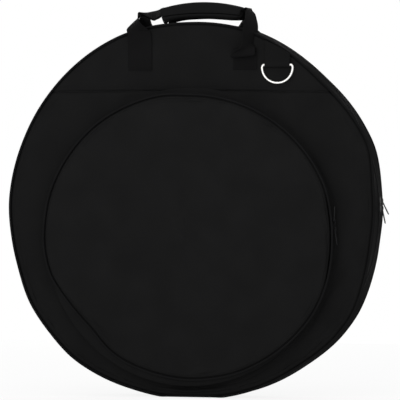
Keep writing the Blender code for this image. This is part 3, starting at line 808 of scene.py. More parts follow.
@dataclass
class Shell:
    """One cloth shell of the bag with its gusset, padding, lining and piping."""

    side: Side
    body: Body
    turns: int = 480
    cloth: float = 0.0012
    pillow: float = 0.0009
    piping_radius: float = 0.00175
    seam_z: float = 0.4721
    zip_start: float = -50
    zip_end: float = 230
    disc: float = 0.2879
    rim_seam: float = 0.2848
    roll: float = 0.0028
    puff: float = 0.0004

    def build(self) -> None:
        """Build every piece of the shell."""
        self.panels()
        self.gusset()
        self.padding()
        self.piping()

    def _out(self, points: np.ndarray, lift: float) -> np.ndarray:
        """Place flat (x, z) points on the panel's outer face, swollen and settled.

        Args:
            points: Points with x and z about the middle of the bag.
            lift: How far over the panel's face.

        Returns:
            The points in the row frame.
        """
        x, z = points[..., 0], points[..., 1]
        radius = np.hypot(x, z)
        rim = smoothstep(radius, self.rim_seam, 0.2882)
        face = HALF_DEPTH + self.pillow * (1 - (radius / RADIUS) ** 6) - rim * 0.003
        seed = 11 if self.side is Side.FRONT else 29
        wave = ripple(x, z, 0.16, seed) * self.puff * (1 - smoothstep(radius, 0.22, 0.28))
        if self.side is Side.FRONT:
            down = z + CENTRE_Z - POCKET_Z
            away = np.hypot(x, down) - POCKET_R
            ridge = smoothstep(away, 0.0036, 0.0064) * (1 - smoothstep(away, 0.0076, 0.013))
            face = face + self.roll * pinch(x, down) * ridge
        y = self.side.value * (face + wave + lift)
        return SETTLE.move(np.stack([x, y, z + CENTRE_Z], axis=-1))

    def _chords(self, low: float, high: float, rows: int, columns: int = 121) -> np.ndarray:
        """A grid over the part of the panel's disc between two heights.

        Args:
            low: Lower height about the middle.
            high: Upper height about the middle.
            rows: Rows from low to high.
            columns: Points in each row.

        Returns:
            Points as rows x columns x 2.
        """
        radius = self.disc
        first, last = math.asin(max(low / radius, -1)), math.asin(min(high / radius, 1))
        heights = radius * np.sin(np.linspace(first, last, rows))
        half = np.sqrt(np.maximum(radius**2 - heights**2, 0))
        spread = np.sin(np.linspace(-math.pi / 2, math.pi / 2, columns))
        x = half[:, None] * spread[None]
        return np.stack([x, np.broadcast_to(heights[:, None], x.shape)], axis=2)

    def _sheet(self, name: str, flat: np.ndarray, lift: np.ndarray | float = 0.0) -> bpy.types.Object:
        """A cloth sheet with a wall, from its flat grid.

        Args:
            name: The object's name.
            flat: Points as rows x columns x 2.
            lift: How far each point stands over the face.

        Returns:
            The sheet.
        """
        grid = self._out(flat, lift)
        pinned = np.zeros(grid.shape[:2])
        pinned[[0, -1]] = pinned[:, [0, -1]] = 1
        radius = np.hypot(flat[..., 0], flat[..., 1])
        pinned = np.maximum(pinned, smoothstep(radius, 0.279, self.rim_seam - 0.0002))
        grid = RELAX.run(grid, False, pinned, (0, self.side.value, 0))
        sheet = grid_object(name, grid, CANVAS, solid=False)
        if sheet.data.polygons[len(sheet.data.polygons) // 2].normal.y * self.side.value < 0:
            sheet.data.flip_normals()
        give_wall(sheet, self.cloth)
        return sheet

    def panels(self) -> None:
        """Build the outer cloth: on the front a yoke over a lower panel, on the back one panel."""
        bottom = -(CENTRE_Z - 0.0041)
        seam = self.seam_z - CENTRE_Z
        if self.side is Side.BACK:
            sheet = self._sheet("back_panel_cloth", self._chords(bottom, self.disc, 120))
            dress(sheet, self.body, "canvas", "back_panel")
            return
        low = self._chords(bottom, seam - 0.0002, 90)
        fold = smoothstep(low[..., 1], seam - 0.0025, seam - 0.0002)
        lower = self._sheet("front_panel_cloth", low, -0.0004 * fold)
        dress(lower, self.body, "canvas", "front_panel")
        high = self._chords(seam + 0.0002, self.disc, 50)
        edge = 1 - smoothstep(high[..., 1], seam + 0.0002, seam + 0.002)
        yoke = self._sheet("front_yoke_cloth", high, 0.0004 - 0.0005 * edge)
        dress(yoke, self.body, "canvas", "front_yoke")

    def gusset(self) -> None:
        """Build the gusset's cloth beside the zip, with its turned edge and the grooves of its two rows of stitching.
        """
        outer = [
            (290.05, 5.5), (290.5, 5.65), (290.72, 6.4), (290.72, 7.2), (290.42, 7.7), (290.72, 8.2), (290.74, 9.6),
            (290.44, 10.1), (290.66, 10.6), (290.6, 13), (290.5, 18), (290.6, 24), (290.45, 27.2), (289.9, 28.1),
        ]
        inner = [(289.35, 28.0), (289.3, 24), (289.3, 14), (289.3, 5.6)]
        profile = in_metres(outer + inner, self.side.value)
        turns = np.radians(np.linspace(self.zip_start, self.zip_end, 420))
        grid = ring_grid(profile, turns, CENTRE_Z, True)
        cloth = grid_object(f"{self.side.label}_gusset_cloth", grid, CANVAS, loop_columns=True, caps=True)
        dress(cloth, self.body, "canvas", f"main_gusset_{self.side.label}")

    def padding(self) -> None:
        """Build the foam discs, the gusset's foam and the lining."""
        side, label, radius = self.side.value, self.side.label, 285.6
        shares = (0.002, 0.25, 0.5, 0.75, 0.93)
        for name, node, near, far, finish, slot in (
            ("foam_sheet", "foam", 24.55, 29.45, FOAM, "padding"),
            ("lining_sheet", "lining", 23.4, 24.2, LINING, "lining"),
        ):
            soft = min(1.6, (far - near) / 2)
            profile = [(radius * s, far) for s in shares]
            profile += [(radius - soft, far), (radius, far - soft), (radius, near + soft), (radius - soft, near)]
            profile += [(radius * s, near) for s in reversed(shares)]
            grid = ring_grid(in_metres(profile, side), full_turn(240), CENTRE_Z, True)
            if name == "lining_sheet":
                grid[..., 1] += side * 0.0003 * ripple(grid[..., 0], grid[..., 2], 0.09, 5)
            piece = grid_object(f"{label}_{name}", grid, finish, loop_rows=True)
            close_poles(piece)
            dress(piece, self.body, slot, f"{label}_{node}")
        profile = rounded([(286.05, 14.4), (288.9, 14.4), (288.9, 26.2), (286.05, 26.2)], 1.2, 2)
        grid = ring_grid(in_metres(profile, side), full_turn(240), CENTRE_Z, True)
        ring = grid_object(f"{label}_gusset_foam", grid, FOAM, True, True)
        dress(ring, self.body, "padding", f"gusset_padding_{label}")

    def piping(self) -> None:
        """Build the covered cord in the rim's seam."""
        centre_r, turns = 289.75, full_turn(self.turns)
        profile = in_metres(circle(centre_r, 30.0, self.piping_radius / MM), self.side.value)
        flat = CENTRE_Z - (self.piping_radius + 0.0003)
        radius, depth = profile[:, 0], profile[:, 1]
        x = np.cos(turns)[:, None] * radius[None]
        z = np.sin(turns)[:, None] * radius[None]
        centre = np.maximum(np.sin(turns) * centre_r * MM, -flat)[:, None]
        z = centre + (z - np.sin(turns)[:, None] * centre_r * MM)
        grid = SETTLE.move(np.stack([x, np.broadcast_to(depth[None], x.shape), z + CENTRE_Z], axis=2))
        cord = grid_object(f"{self.side.label}_piping_cord", grid, PIPING, True, True)
        dress(cord, self.body, "piping", f"{self.side.label}_piping")

    def stitches(self, rows: Rows) -> None:
        """Add this shell's rows of stitching.

        Args:
            rows: The rows that ride the same body.
        """
        side = self.side.value
        for depth in (7.7, 10.1):
            rows.add(ring_line(0.29055, side * depth * MM, self.zip_start + 1, self.zip_end - 1, CENTRE_Z, True))
        rows.add(ring_line(0.2907, side * 26.0 * MM, -49.5, 229.5, CENTRE_Z, True, 500))
        around = np.radians(np.linspace(-80, 260, 500))
        rim = np.stack([self.rim_seam * np.cos(around), self.rim_seam * np.sin(around)], axis=1)
        rows.add(self._out(rim, 0.0))
        if self.side is Side.FRONT:
            for gap in (0.0022, 0.0072):
                height = self.seam_z - CENTRE_Z + gap
                half = math.sqrt(0.2835**2 - height**2)
                line = np.stack([np.linspace(-half, half, 200), np.full(200, height)], axis=1)
                rows.add(self._out(line, 0.0006))


def close_poles(obj: bpy.types.Object) -> None:
    """Fill the two small round holes at the middle of a turned disc."""
    shape = bmesh.new()
    shape.from_mesh(obj.data)
    bmesh.ops.holes_fill(shape, edges=[edge for edge in shape.edges if edge.is_boundary], sides=0)
    bmesh.ops.recalc_face_normals(shape, faces=shape.faces)
    shape.to_mesh(obj.data)
    shape.free()


@dataclass
class ZipRing:
    """A zip along a ring: two tapes and two rows of teeth that mesh in the middle."""

    name: str
    middle_z: float
    plane: float
    radius: float
    tape_width: float
    flat: bool
    start: float = -50
    end: float = 230
    pitch: float = 0.0031

    def build(self, side: Side, body: Body) -> None:
        """Build one half of the zip.

        Args:
            side: Which half.
            body: The body it rides.
        """
        label, s = side.label, side.value
        base = self.radius / MM - 1.5
        near, far = 0.7, 0.7 + self.tape_width / MM
        profile = [
            (base, near), (base + 0.25, near - 0.1), (base + 0.3, near + 0.6), (base, near + 1.2), (base, far),
            (base - 0.8, far), (base - 0.8, near), (base - 0.4, near - 0.15),
        ]
        turns = np.radians(np.linspace(self.start, self.end, 360))
        grid = ring_grid(in_metres(profile, s, self.plane), turns, self.middle_z, self.flat)
        tape = grid_object(f"{self.name}_zip_tape_{label}_cloth", grid, TAPE, loop_columns=True, caps=True)
        dress(tape, body, "zip_tape", f"{self.name}_zip_tape_{label}")
        half_pitch = math.degrees(self.pitch / 2 / self.radius)
        start = self.start + 0.2 + (half_pitch if side is Side.FRONT else 0)
        line = ring_line(
            self.radius - 0.0004, self.plane + s * 0.0019, start, self.end - 0.2, self.middle_z, self.flat, 900
        )
        rows = Rows(
            f"{self.name}_zip_teeth_{label}", COIL, self.pitch, 0.0013, 0.0026, 0.0019, s * 0.62, True,
            (0, self.plane, self.middle_z), [line],
        )
        dress(rows.build(), body, "zip_chain", f"{self.name}_zip_chain_{label}")


@dataclass
class ZipSlider:
    """A painted zip slider and its flat pull."""

    name: str
    ring: ZipRing
    angle: float
    tilt: float
    length: float = 0.0115
    width: float = 0.0092
    tape_drop: float = 0.0015
    rise: float = 0.0028
    plate: float = 0.001
    nose: float = 0.0022
    flange: float = 0.00425
    pin_rise: float = 0.0021

    def _place(self, obj: bpy.types.Object) -> None:
        """Turn a piece made at 3 o'clock to its place on the ring."""
        turn = math.radians(self.angle)
        co = corners_of(obj.data)
        x, z = co[:, 0].copy(), co[:, 2].copy()
        co[:, 0] = x * math.cos(turn) - z * math.sin(turn)
        co[:, 2] = x * math.sin(turn) + z * math.cos(turn) + self.ring.middle_z
        co[:, 1] += self.ring.plane
        obj.data.vertices.foreach_set("co", co.ravel())
        obj.data.update()

    def build(self) -> None:
        """Build the slider and its pull."""
        tape = self.ring.radius - self.tape_drop
        top = tape + self.rise
        reach = top + 0.0002
        plates = [
            self._plate("top", top, top + self.plate),
            self._plate("under", tape - 0.0016 - self.plate, tape - 0.0016),
        ]
        for s in (-1, 1):
            plates.append(self._block(tape + 0.0005, reach, s * self.flange, 0.00035, self.length * 0.42, 0.0))
        plates.append(self._block(tape - 0.0018, reach, 0.0, 0.00038, self.length * 0.28, 0.0016))
        plates.append(self._bridge(top + self.plate))
        slider = join(f"{self.name}_slider_body", plates)
        self._place(slider)
        dress(slider, f"{self.name}_slider", "black_metal", f"{self.name}_slider")
        pull = self._pull(top + self.plate + self.pin_rise)
        self._place(pull)
        dress(pull, f"{self.name}_pull", "black_metal", f"{self.name}_pull")

    def _plate(self, name: str, low: float, high: float) -> bpy.types.Object:
        """A slider plate with rounded ends."""
        half, end, nose = self.width / 2, self.length / 2, self.nose
        outline = [
            (-half, -end + nose), (-half * 0.72, -end), (half * 0.72, -end), (half, -end + nose),
            (half, end - nose), (half * 0.6, end), (-half * 0.6, end), (-half, end - nose),
        ]
        return self._prism(f"{self.name}_{name}", rounded(outline, 0.0012), low, high)

    def _prism(self, name: str, loop: np.ndarray, low: float, high: float) -> bpy.types.Object:
        """A plate over a (y, z) outline from one radius to another, with eased edges."""
        ease = min((high - low) * 0.3, 0.00025)
        middle = loop.mean(0)
        small = middle + (loop - middle) * (1 - ease / np.abs(loop - middle).max())
        layers = [(small, low), (loop, low + ease), (loop, high - ease), (small, high)]
        grid = np.array([[(r, p[0], p[1]) for p in ring] for ring, r in layers])
        return grid_object(name, grid, ENAMEL, loop_columns=True, caps=True)

    def _block(self, low: float, high: float, y: float, half: float, reach: float, shift: float) -> bpy.types.Object:
        """A wall of the slider between its plates."""
        left, right, lower, upper = y - half, y + half, shift - reach, shift + reach
        loop = rounded([(left, lower), (right, lower), (right, upper), (left, upper)], 0.0002, 2)
        return self._prism(f"{self.name}_wall", loop, low, high)

    def _bridge(self, base: float) -> bpy.types.Object:
        """The arch that carries the pull."""
        path = catmull(np.array([
            (base - 0.0004, -0.0043), (base + 0.0012, -0.0042), (base + 0.0028, -0.0034), (base + 0.0036, -0.0015),
            (base + 0.0037, 0.001), (base + 0.0032, 0.003), (base + 0.0015, 0.0041), (base - 0.0004, 0.0043),
        ]), 4)
        grid = []
        for index, (r, z) in enumerate(path):
            ahead, behind = path[min(index + 1, len(path) - 1)], path[max(index - 1, 0)]
            way = (ahead - behind) / np.linalg.norm(ahead - behind)
            normal = np.array([-way[1], way[0]])
            loop = rounded([(-0.0011, -0.00045), (0.0011, -0.00045), (0.0011, 0.00045), (-0.0011, 0.00045)], 0.0003, 2)
            grid.append([(r + normal[0] * n, y, z + normal[1] * n) for y, n in loop])
        return grid_object(f"{self.name}_bridge", np.array(grid), ENAMEL, loop_columns=True, caps=True)

    def _pull(self, pin: float) -> bpy.types.Object:
        """The flat pull with its window and its small hole, hung on the bridge at its own tilt."""
        curve = bpy.data.curves.new(f"{self.name}_pull_plate", "CURVE")
        curve.dimensions = "2D"
        curve.fill_mode = "BOTH"
        curve.extrude = 0.0004
        curve.bevel_depth = 0.0002
        curve.bevel_resolution = 1
        half, low = 0.0026, -0.0236
        outline = rounded([
            (-half, 0.0005), (half, 0.0005), (half * 0.86, -0.008), (half, low + 0.004), (half * 0.7, low),
            (-half * 0.7, low), (-half, low + 0.004), (-half * 0.86, -0.008),
        ], 0.0014, 4)
        window = rounded([(-0.0014, -0.0008), (0.0014, -0.0008), (0.0013, -0.0066), (-0.0013, -0.0066)], 0.0008, 3)
        for loop in (outline, window, circle(0.0, -0.0208, 0.001, 12)):
            spline = curve.splines.new("POLY")
            spline.points.add(len(loop) - 1)
            for point, (a, b) in zip(spline.points, loop):
                point.co = (a, b, 0, 1)
            spline.use_cyclic_u = True
        mesh = baked_mesh(new_object(f"{self.name}_pull_plate", curve))
        tilt = math.radians(self.tilt)
        co = corners_of(mesh)
        across, down, thick = co[:, 0].copy(), co[:, 1].copy(), co[:, 2].copy()
        co[:, 0] = pin - down * math.sin(tilt) + thick * math.cos(tilt)
        co[:, 1] = across
        co[:, 2] = down * math.cos(tilt) + thick * math.sin(tilt)
        mesh.vertices.foreach_set("co", co.ravel())
        return add_piece(f"{self.name}_pull_tab", mesh, ENAMEL)


@dataclass
class Pocket:
    """The round front pocket: gusset halves, piping, face and padding."""

    middle_z: float = POCKET_Z
    plane: float = POCKET_Y
    radius: float = POCKET_R
    depth: float = 0.024
    rise: float = 0.006
    flare: float = 0.0072
    crease: float = 0.2125
    turns: int = 420
    cloth: float = 0.0012
    inset: float = 0.0028

    @property
    def edge(self) -> float:
        """The radius of the face."""
        return self.radius - self.inset

    def build(self) -> None:
        """Build every piece of the pocket."""
        self.gussets()
        self.piping()
        self.face()

    def gussets(self) -> None:
        """Build both gusset bands beside the pocket's zip."""
        r = self.radius / MM
        turns = np.radians(np.linspace(-50, 230, 380))
        for side, far, body in ((Side.BACK, 11.6, Body.LID), (Side.FRONT, 8.9, Body.FLAP)):
            outer = [(r - 0.4, 5.3), (r, 5.45), (r + 0.15, 6.0), (r + 0.15, 6.7), (r - 0.1, 7.1), (r + 0.12, 7.5)]
            if side is Side.BACK:
                shares = (0.3, 0.5, 0.7, 0.85, 1)
                outer += [(r + self.flare * share**1.5 / MM, 7.5 + 3.2 * share) for share in shares]
                inner = [(a - 0.5, b + 1.1) for a, b in reversed(outer[-5:])] + [(r - 1.2, 7.5), (r - 1.2, 5.3)]
            else:
                outer += [(r, far - 0.4), (r - 0.4, far)]
                inner = [(r - 1.2, far), (r - 1.2, 5.3)]
            name = f"pocket_gusset_{side.label}"
            grid = ring_grid(in_metres(outer + inner, side.value, self.plane), turns, self.middle_z, False)
            cloth = grid_object(f"{name}_cloth", grid, CANVAS, loop_columns=True, caps=True)
            dress(cloth, body, "canvas", name)

    def piping(self) -> None:
        """Build the covered cord round the pocket's face."""
        profile = in_metres(circle(self.radius / MM - 0.75, 11.0, 1.75), -1, self.plane)
        grid = ring_grid(profile, full_turn(self.turns), self.middle_z, False)
        cord = grid_object("pocket_piping_cord", grid, PIPING, True, True)
        dress(cord, Body.FLAP, "piping", "pocket_piping")

    def _front(self, radius: np.ndarray, turn: np.ndarray) -> np.ndarray:
        """How far the face stands in front of the zip's plane, for polar points of the face."""
        edge = self.edge
        share = np.clip(radius / edge, 0, 1)
        dome = self.depth / 2 + self.rise * (1 - share**2.4)
        tuck = smoothstep(radius, edge - 0.0032, edge + 0.0002) * 0.0034
        x, z = radius * np.cos(turn), radius * np.sin(turn)
        wave = ripple(x, z, 0.15, 41) * 0.0006 * (1 - smoothstep(radius, edge - 0.03, edge))
        return dome - tuck + wave - self._fold(x)

    def _on_face(self, radius: np.ndarray, turn: np.ndarray, lift: float) -> np.ndarray:
        """Settled points on the face, or a lift in front of it, from their polar places."""
        front = self._front(radius, turn) + lift
        points = [radius * np.cos(turn), self.plane - front, radius * np.sin(turn) + self.middle_z]
        return LEAN.move(np.stack(points, axis=-1))

    def _fold(self, x: np.ndarray) -> np.ndarray:
        """How far the slack right edge falls back beyond its crease."""
        return smoothstep(x, self.crease - 0.001, self.crease + 0.009) * 0.0022

    def face(self) -> None:
        """Build the face's cloth, swollen over its padding, and the padding behind it."""
        edge = self.edge
        spread = np.concatenate([np.linspace(0.001, edge - 0.03, 26), np.linspace(edge - 0.0285, edge + 0.0004, 34)])
        radius, turn = np.meshgrid(spread, full_turn(300), indexing="xy")
        grid = self._on_face(radius, turn, 0.0)
        pinned = smoothstep(radius, edge - 0.0062, edge - 0.0032)
        grid = RELAX.run(grid, True, pinned, (0, -1, 0))
        face = grid_object("pocket_face_cloth", grid, POCKET_CANVAS, loop_rows=True, solid=False)
        close_poles_front(face)
        planar_uv(face)
        give_wall(face, self.cloth)
        dress(face, Body.FLAP, "pocket_canvas", "pocket_face")
        inner = self.radius - 0.0072
        shares = np.array([0.005, 0.2, 0.4, 0.6, 0.8, 0.92, 0.985, 1.0])
        front_side = [
            (inner * s, self.depth / 2 - 0.0017 + self.rise * (1 - s**2.4) - (0.001 if s > 0.99 else 0)) for s in shares
        ]
        back_side = [(a, b - 0.003 + (0.0014 if a > inner * 0.99 else 0)) for a, b in reversed(front_side)]
        points = np.array([(a, self.plane - b) for a, b in front_side + back_side])
        layers = ring_grid(points, full_turn(160), self.middle_z, False)
        layers[..., 1] += self._fold(layers[..., 0])
        foam = grid_object("pocket_face_foam", layers, FOAM, loop_rows=True)
        close_poles(foam)
        dress(foam, Body.FLAP, "padding", "pocket_padding")

    def stitches(self, flap: Rows) -> None:
        """Add the pocket's rows of stitching.

        Args:
            flap: Rows that ride the pocket's face.
        """
        flap.add(ring_line(self.radius, self.plane - 0.0071, -49, 229, self.middle_z, False))
        edge = self.edge
        turns = np.linspace(0, 2 * math.pi, 600)
        for inset in (0.0042, 0.0086):
            flap.add(self._on_face(np.full_like(turns, edge - inset), turns, 0.0001))


def close_poles_front(obj: bpy.types.Object) -> None:
    """Fill the small hole in the middle of a face, and turn its faces to the front."""
    shape = bmesh.new()
    shape.from_mesh(obj.data)
    hole = [edge for edge in shape.edges if edge.is_boundary and edge.calc_length() < 0.0001]
    bmesh.ops.holes_fill(shape, edges=hole, sides=0)
    shape.normal_update()
    if sum(face.normal.y * face.calc_area() for face in shape.faces) > 0:
        bmesh.ops.reverse_faces(shape, faces=shape.faces)
    shape.to_mesh(obj.data)
    shape.free()


def planar_uv(obj: bpy.types.Object) -> None:
    """Lay the cloth's UV map flat over x and z, as cut from straight cloth."""
    mesh = obj.data
    layer = mesh.uv_layers.active or mesh.uv_layers.new(name="UVMap")
    index = np.empty(len(mesh.loops), int)
    mesh.loops.foreach_get("vertex_index", index)
    layer.data.foreach_set("uv", corners_of(mesh)[index][:, [0, 2]].astype(np.float32).ravel())


@dataclass
class BaseWeb:
    """The plain webs at the base that join two halves where a zip ends, each as one cloth across the joint."""

    start: float = 230.02
    end: float = 309.98

    def build(self) -> None:
        """Build the web of the shell and the web of the pocket."""
        turns = np.radians(np.linspace(self.start, self.end, 200))
        self._web("base_web_cloth", RADIUS, CENTRE_Z, 0.0, 27.9, 27.9, 0, True, turns, Body.LID, Body.BACK, "main")
        self._web(
            "pocket_web_cloth", POCKET_R, POCKET_Z, POCKET_Y, 8.9, 10.7, Pocket.flare, False, turns, Body.FLAP,
            Body.LID, "pocket",
        )

    def _web(
        self, name: str, radius: float, middle: float, plane: float, front: float, back: float, flare: float,
        flat: bool, turns: np.ndarray, moving: Body, still: Body, prefix: str,
    ) -> None:
        """One web across both halves.

        Args:
            name: The object's name.
            radius: Its outer radius.
            middle: Height of the ring's middle.
            plane: The zip's plane.
            front: How far it reaches to the front, in millimetres.
            back: How far it reaches to the back, in millimetres.
            flare: How far its back edge flares out, in metres.
            flat: Whether the ring has the base flat.
            turns: Angles of the stations.
            moving: The body at the front.
            still: The body at the back.
            prefix: First word of the CAD nodes it stands for.
        """
        depths = np.linspace(-front, back, 25)
        outer = [(radius + flare * max(0, (d - 7.5) / (back - 7.5)) ** 1.5, plane + d * MM) for d in depths]
        inner = [(a - 0.0011, b + 0.0005 * (flare > 0)) for a, b in reversed(outer)]
        grid = ring_grid(np.array(outer + inner), turns, middle, flat)
        if flare:
            x, z = grid[..., 0], grid[..., 2] - middle
            reach = np.hypot(x, z)
            scale = 1 - 0.62 * pinch(x, z) * np.maximum(reach - radius, 0) / reach
            grid[..., 0], grid[..., 2] = x * scale, z * scale + middle
        web = grid_object(name, grid, CANVAS, loop_columns=True, caps=True)
        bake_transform(web)
        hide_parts(f"{prefix}_base_web_front", f"{prefix}_base_web_back")
        LOG.info("%s bends between %s and %s", name, still.value, moving.value)


@dataclass
class Handle:
    """Both straps and the wrap grip."""

    shift: float = 0.0035
    spacing: float = 0.1668
    strap_width: float = 0.0378
    strap: float = 0.0018
    seam_z: float = 0.5055
    rim_z: float = 0.5673
    mouth_z: float = 0.5959
    grip_shift: float = 0.0135
    grip_length: float = 0.13
    lead: float = 0.0075
    back_drift: float = -0.012
    left_rise: float = 0.9
    top_z: float = 0.6109
    top_radius: float = 0.232
    crown: float = 0.00565
    slot: float = 0.0194
    gap: float = 0.00225
    half: float = 0.0258
    low: float = 0.02015
    flap_edge: float = 0.0093
    stations: int = 12

    def build(self) -> None:
        """Build the straps, the grip and its hook and loop strips."""
        for side, body in ((Side.FRONT, Body.LID), (Side.BACK, Body.BACK)):
            self._strap(side, body)
        self._wrap()
        self._flap()
        self._strips()

    def grip_place(self, along: float, lift: float) -> tuple[float, float]:
        """The (x, z) of a point on the grip's arc."""
        radius = self.top_radius - self.crown
        turn = along / radius
        centre = self.top_z - self.top_radius
        return self.grip_shift + (radius + lift) * math.sin(turn), centre + (radius + lift) * math.cos(turn)

    def _leg(self, leg: int, side: Side, lift: float) -> list[tuple[float, ...]]:
        """Stations up one leg: x, y, z, the direction of the strap's width as x, y, z, and the share of its width.

        Args:
            leg: -1 on the left and 1 on the right.
            side: The face that it is sewn to.
            lift: How far it lies over or under the plane between the straps.

        Returns:
            The stations from the sewn end to the mouth of the grip.
        """
        shares = [
            (0.0, 0.0, 0.0, 0.0, 0.0, 0.0), (0.0, 0.0, 0.4, 0.0, 0.0, 0.0), (0.0, -0.03, 0.75, 0.0, 0.0, 0.0),
            (0.05, -0.1, 0.95, 0.0, 0.03, 0.0), (0.14, -0.11, 1.0, 0.06, 0.2, 0.0), (0.22, -0.02, 1.0, 0.28, 0.48, 0.0),
            (0.22, 0.14, 1.0, 0.52, 0.7, 0.8), (0.13, 0.38, 1.0, 0.8, 0.88, 1.6), (0.02, 0.62, 1.0, 1.0, 1.0, 1.6),
            (0.0, 0.9, 1.0, 1.1, 1.0, 1.5),
        ]
        leg_x = self.shift + leg * self.spacing / 2
        off = side.value * (HALF_DEPTH + 0.0012 + self.strap / 2)
        spread = 0.75 if side is Side.FRONT else (0.1 if leg < 0 else -0.4)
        drifts = (0, 0.08, 0.4, 0.8, 1, 1, 0.9, 0.6, 0.25, 0)
        middles = []
        for (out, inward, up, over, *_), drift in zip(shares, drifts):
            out *= spread
            over = over if leg > 0 else over * self.left_rise
            z = self.seam_z + (self.rim_z - self.seam_z) * up + (self.mouth_z - self.rim_z) * over
            x = leg_x + leg * out * self.strap_width + (drift * self.back_drift if side is Side.BACK else 0)
            middles.append(np.array([x, off * (1 - inward), z]))
        mouth = self.grip_place(leg * self.grip_length / 2, 0)
        middles[-1][0] = mouth[0] + leg * self.lead
        middles.append(np.array([mouth[0], 0.0, mouth[1]]))
        found = []
        for step, (middle, share) in enumerate(zip(middles, shares)):
            way = middles[step + 1] - middles[max(step - 1, 0)]
            normal = np.array([leg * way[2], 0, -leg * way[0]])
            normal /= np.linalg.norm(normal)
            angle = math.pi / 2 * share[-2]
            edge = (-leg * math.cos(angle), side.value * math.sin(angle), 0)
            found.append((*(middle + normal * lift * share[-1]), *edge, 1.0))
        if leg > 0 and side is Side.FRONT:
            found[1:7] = self._slack()
        return found

    def _slack(self) -> list[tuple[float, ...]]:
        """Stations of the slack right leg, which folds over its sewn end and twists above the fold.

        Returns:
            Rows of x, y, z, the direction of the width and the share of the width.
        """
        x = self.shift + self.spacing / 2
        table = [
            (0.0, -32.4, 517, 0, 0, 1.0), (-0.2, -33.2, 530, 0, -2, 1.0),
            (-0.4, -35.6, 537.5, 0, -4, 0.97), (-0.6, -38.8, 534.5, 0, -5, 0.97), (-0.8, -40.4, 528.5, 0, -5, 1.0),
            (-0.9, -42.6, 525.2, 2, -5, 1.0), (-0.6, -45.0, 528.0, 4, -7, 1.0), (0.4, -45.6, 533.5, 14, -12, 0.94),
            (4.2, -44.4, 540.5, 42, -24, 0.7), (7.2, -41.8, 548.5, 52, -26, 0.7), (8.6, -39.4, 556.5, 58, -20, 0.84),
            (9.2, -36.5, 564.5, 62, -10, 0.95), (8.8, -32.0, 573.8, 68, -4, 1.0), (8.0, -27.5, 581.0, 74, 0, 1.0),
        ]
        rows = []
        for across, y, z, turn, lean, share in table:
            a, b = math.radians(turn), math.radians(lean)
            edge = (-math.cos(a) * math.cos(b), -math.sin(a), math.sin(b) * math.cos(a))
            rows.append((x + across * MM, y * MM, z * MM, *edge, share))
        return rows

    def _strap(self, side: Side, body: Body) -> None:
        """One strap of webbing from face to grip to face.

        Args:
            side: The face that it is sewn to.
            body: The body it rides.
        """
        lift = (self.strap + 0.0003) / 2 * -side.value
        rows = self._leg(-1, side, lift)[:-1]
        slant = math.radians(26)
        for near, share in ((-0.0145, 0.9), (-0.0075, 1.0), (-0.001, 0.85)):
            x, z = self.grip_place(near - self.grip_length / 2, lift)
            angle = slant * share
            rows.append((x, 0.0, z, 0.0, side.value * math.cos(angle), side.value * math.sin(angle), 1.0))
        for step in range(1, self.stations + 1):
            along = self.grip_length * (step / self.stations - 0.5)
            x, z = self.grip_place(along, lift)
            rows.append((x, 0.0, z, 0.0, side.value, 0.0, 1.0))
        rows += reversed(self._leg(1, side, lift))
        path = catmull(np.array(rows), 7)
        shares = np.array([-1, -0.97, -0.9, -0.82, -0.5, 0, 0.5, 0.82, 0.9, 0.97, 1])
        thick = np.array([0.35, 0.8, 1.1, 0.98, 1, 1, 1, 0.98, 1.1, 0.8, 0.35]) * self.strap / 2
        grid = []
        for index in range(len(path)):
            centre, wide = path[index, :3], path[index, 3:6]
            wide = wide / np.linalg.norm(wide) * path[index, 6]
            way = path[min(index + 1, len(path) - 1), :3] - path[max(index - 1, 0), :3]
            normal = np.cross(way, wide)
            normal /= np.linalg.norm(normal)
            bow = (1 - path[index, 6]) * 0.005 * (shares**2 - 0.3)
            line = centre + normal * bow[:, None] + wide * shares[:, None] * self.strap_width / 2
            grid.append(np.vstack([line + normal * thick[:, None], (line - normal * thick[:, None])[::-1]]))
        name = f"{side.label}_strap"
        webbing = grid_object(f"{name}_webbing", np.array(grid), WEBBING, loop_columns=True, caps=True)
        dress(webbing, body, "webbing", name)

    def droop(self, step: float) -> float:
        """How low the wrap hangs at a station from 0 to 12."""
        shares = (1.04, 0.94, 0.93, 0.95, 0.98, 1.0, 1.0, 1.0, 1.0, 0.98, 0.94, 0.84, 0.7)
        return float(np.interp(step, range(len(shares)), shares))

    def lap(self, step: float) -> float:
        """How far the flap laps over the front of the wrap at a station from 0 to 12."""
        shares = (0.9, 1.02, 1.12, 1.2, 1.26, 1.3, 1.3, 1.28, 1.24, 1.16, 1.05, 0.94, 0.8)
        return self.flap_edge * float(np.interp(step, range(len(shares)), shares))

    def _carry(
        self, name: str, section: Callable[[float, float], list[tuple[float, float]]], first: float, last: float,
        finish: Cloth, radius: float, split: int = 1,
    ) -> bpy.types.Object:
        """Carry a section along the grip's arc.

        Args:
            name: The object's name.
            section: A function from droop and lap to the section's corners.
            first: First station.
            last: Last station.
            finish: The finish of the piece.
            radius: How round the section's corners are.
            split: How many parts each edge of the section is cut into.

        Returns:
            The piece.
        """
        grid = []
        count = int((last - first) * 6) + 1
        for step in np.linspace(first, last, count):
            along = self.grip_length * (step / self.stations - 0.5)
            end = min(step - first, last - step)
            shrink = 1 - 0.05 * (1 - smoothstep(end, 0, 0.35))
            points = []
            corners = rounded(section(self.droop(step), self.lap(step)), radius, 3)
            after = np.roll(corners, -1, axis=0)
            shares = np.arange(split)[None, :, None] / split
            corners = (corners[:, None] * (1 - shares) + after[:, None] * shares).reshape(-1, 2)
            for out, over in corners:
                x, z = self.grip_place(along, over * shrink)
                points.append((x, out * shrink, z))
            grid.append(points)
        return grid_object(name, np.array(grid), finish, loop_columns=True, caps=True)

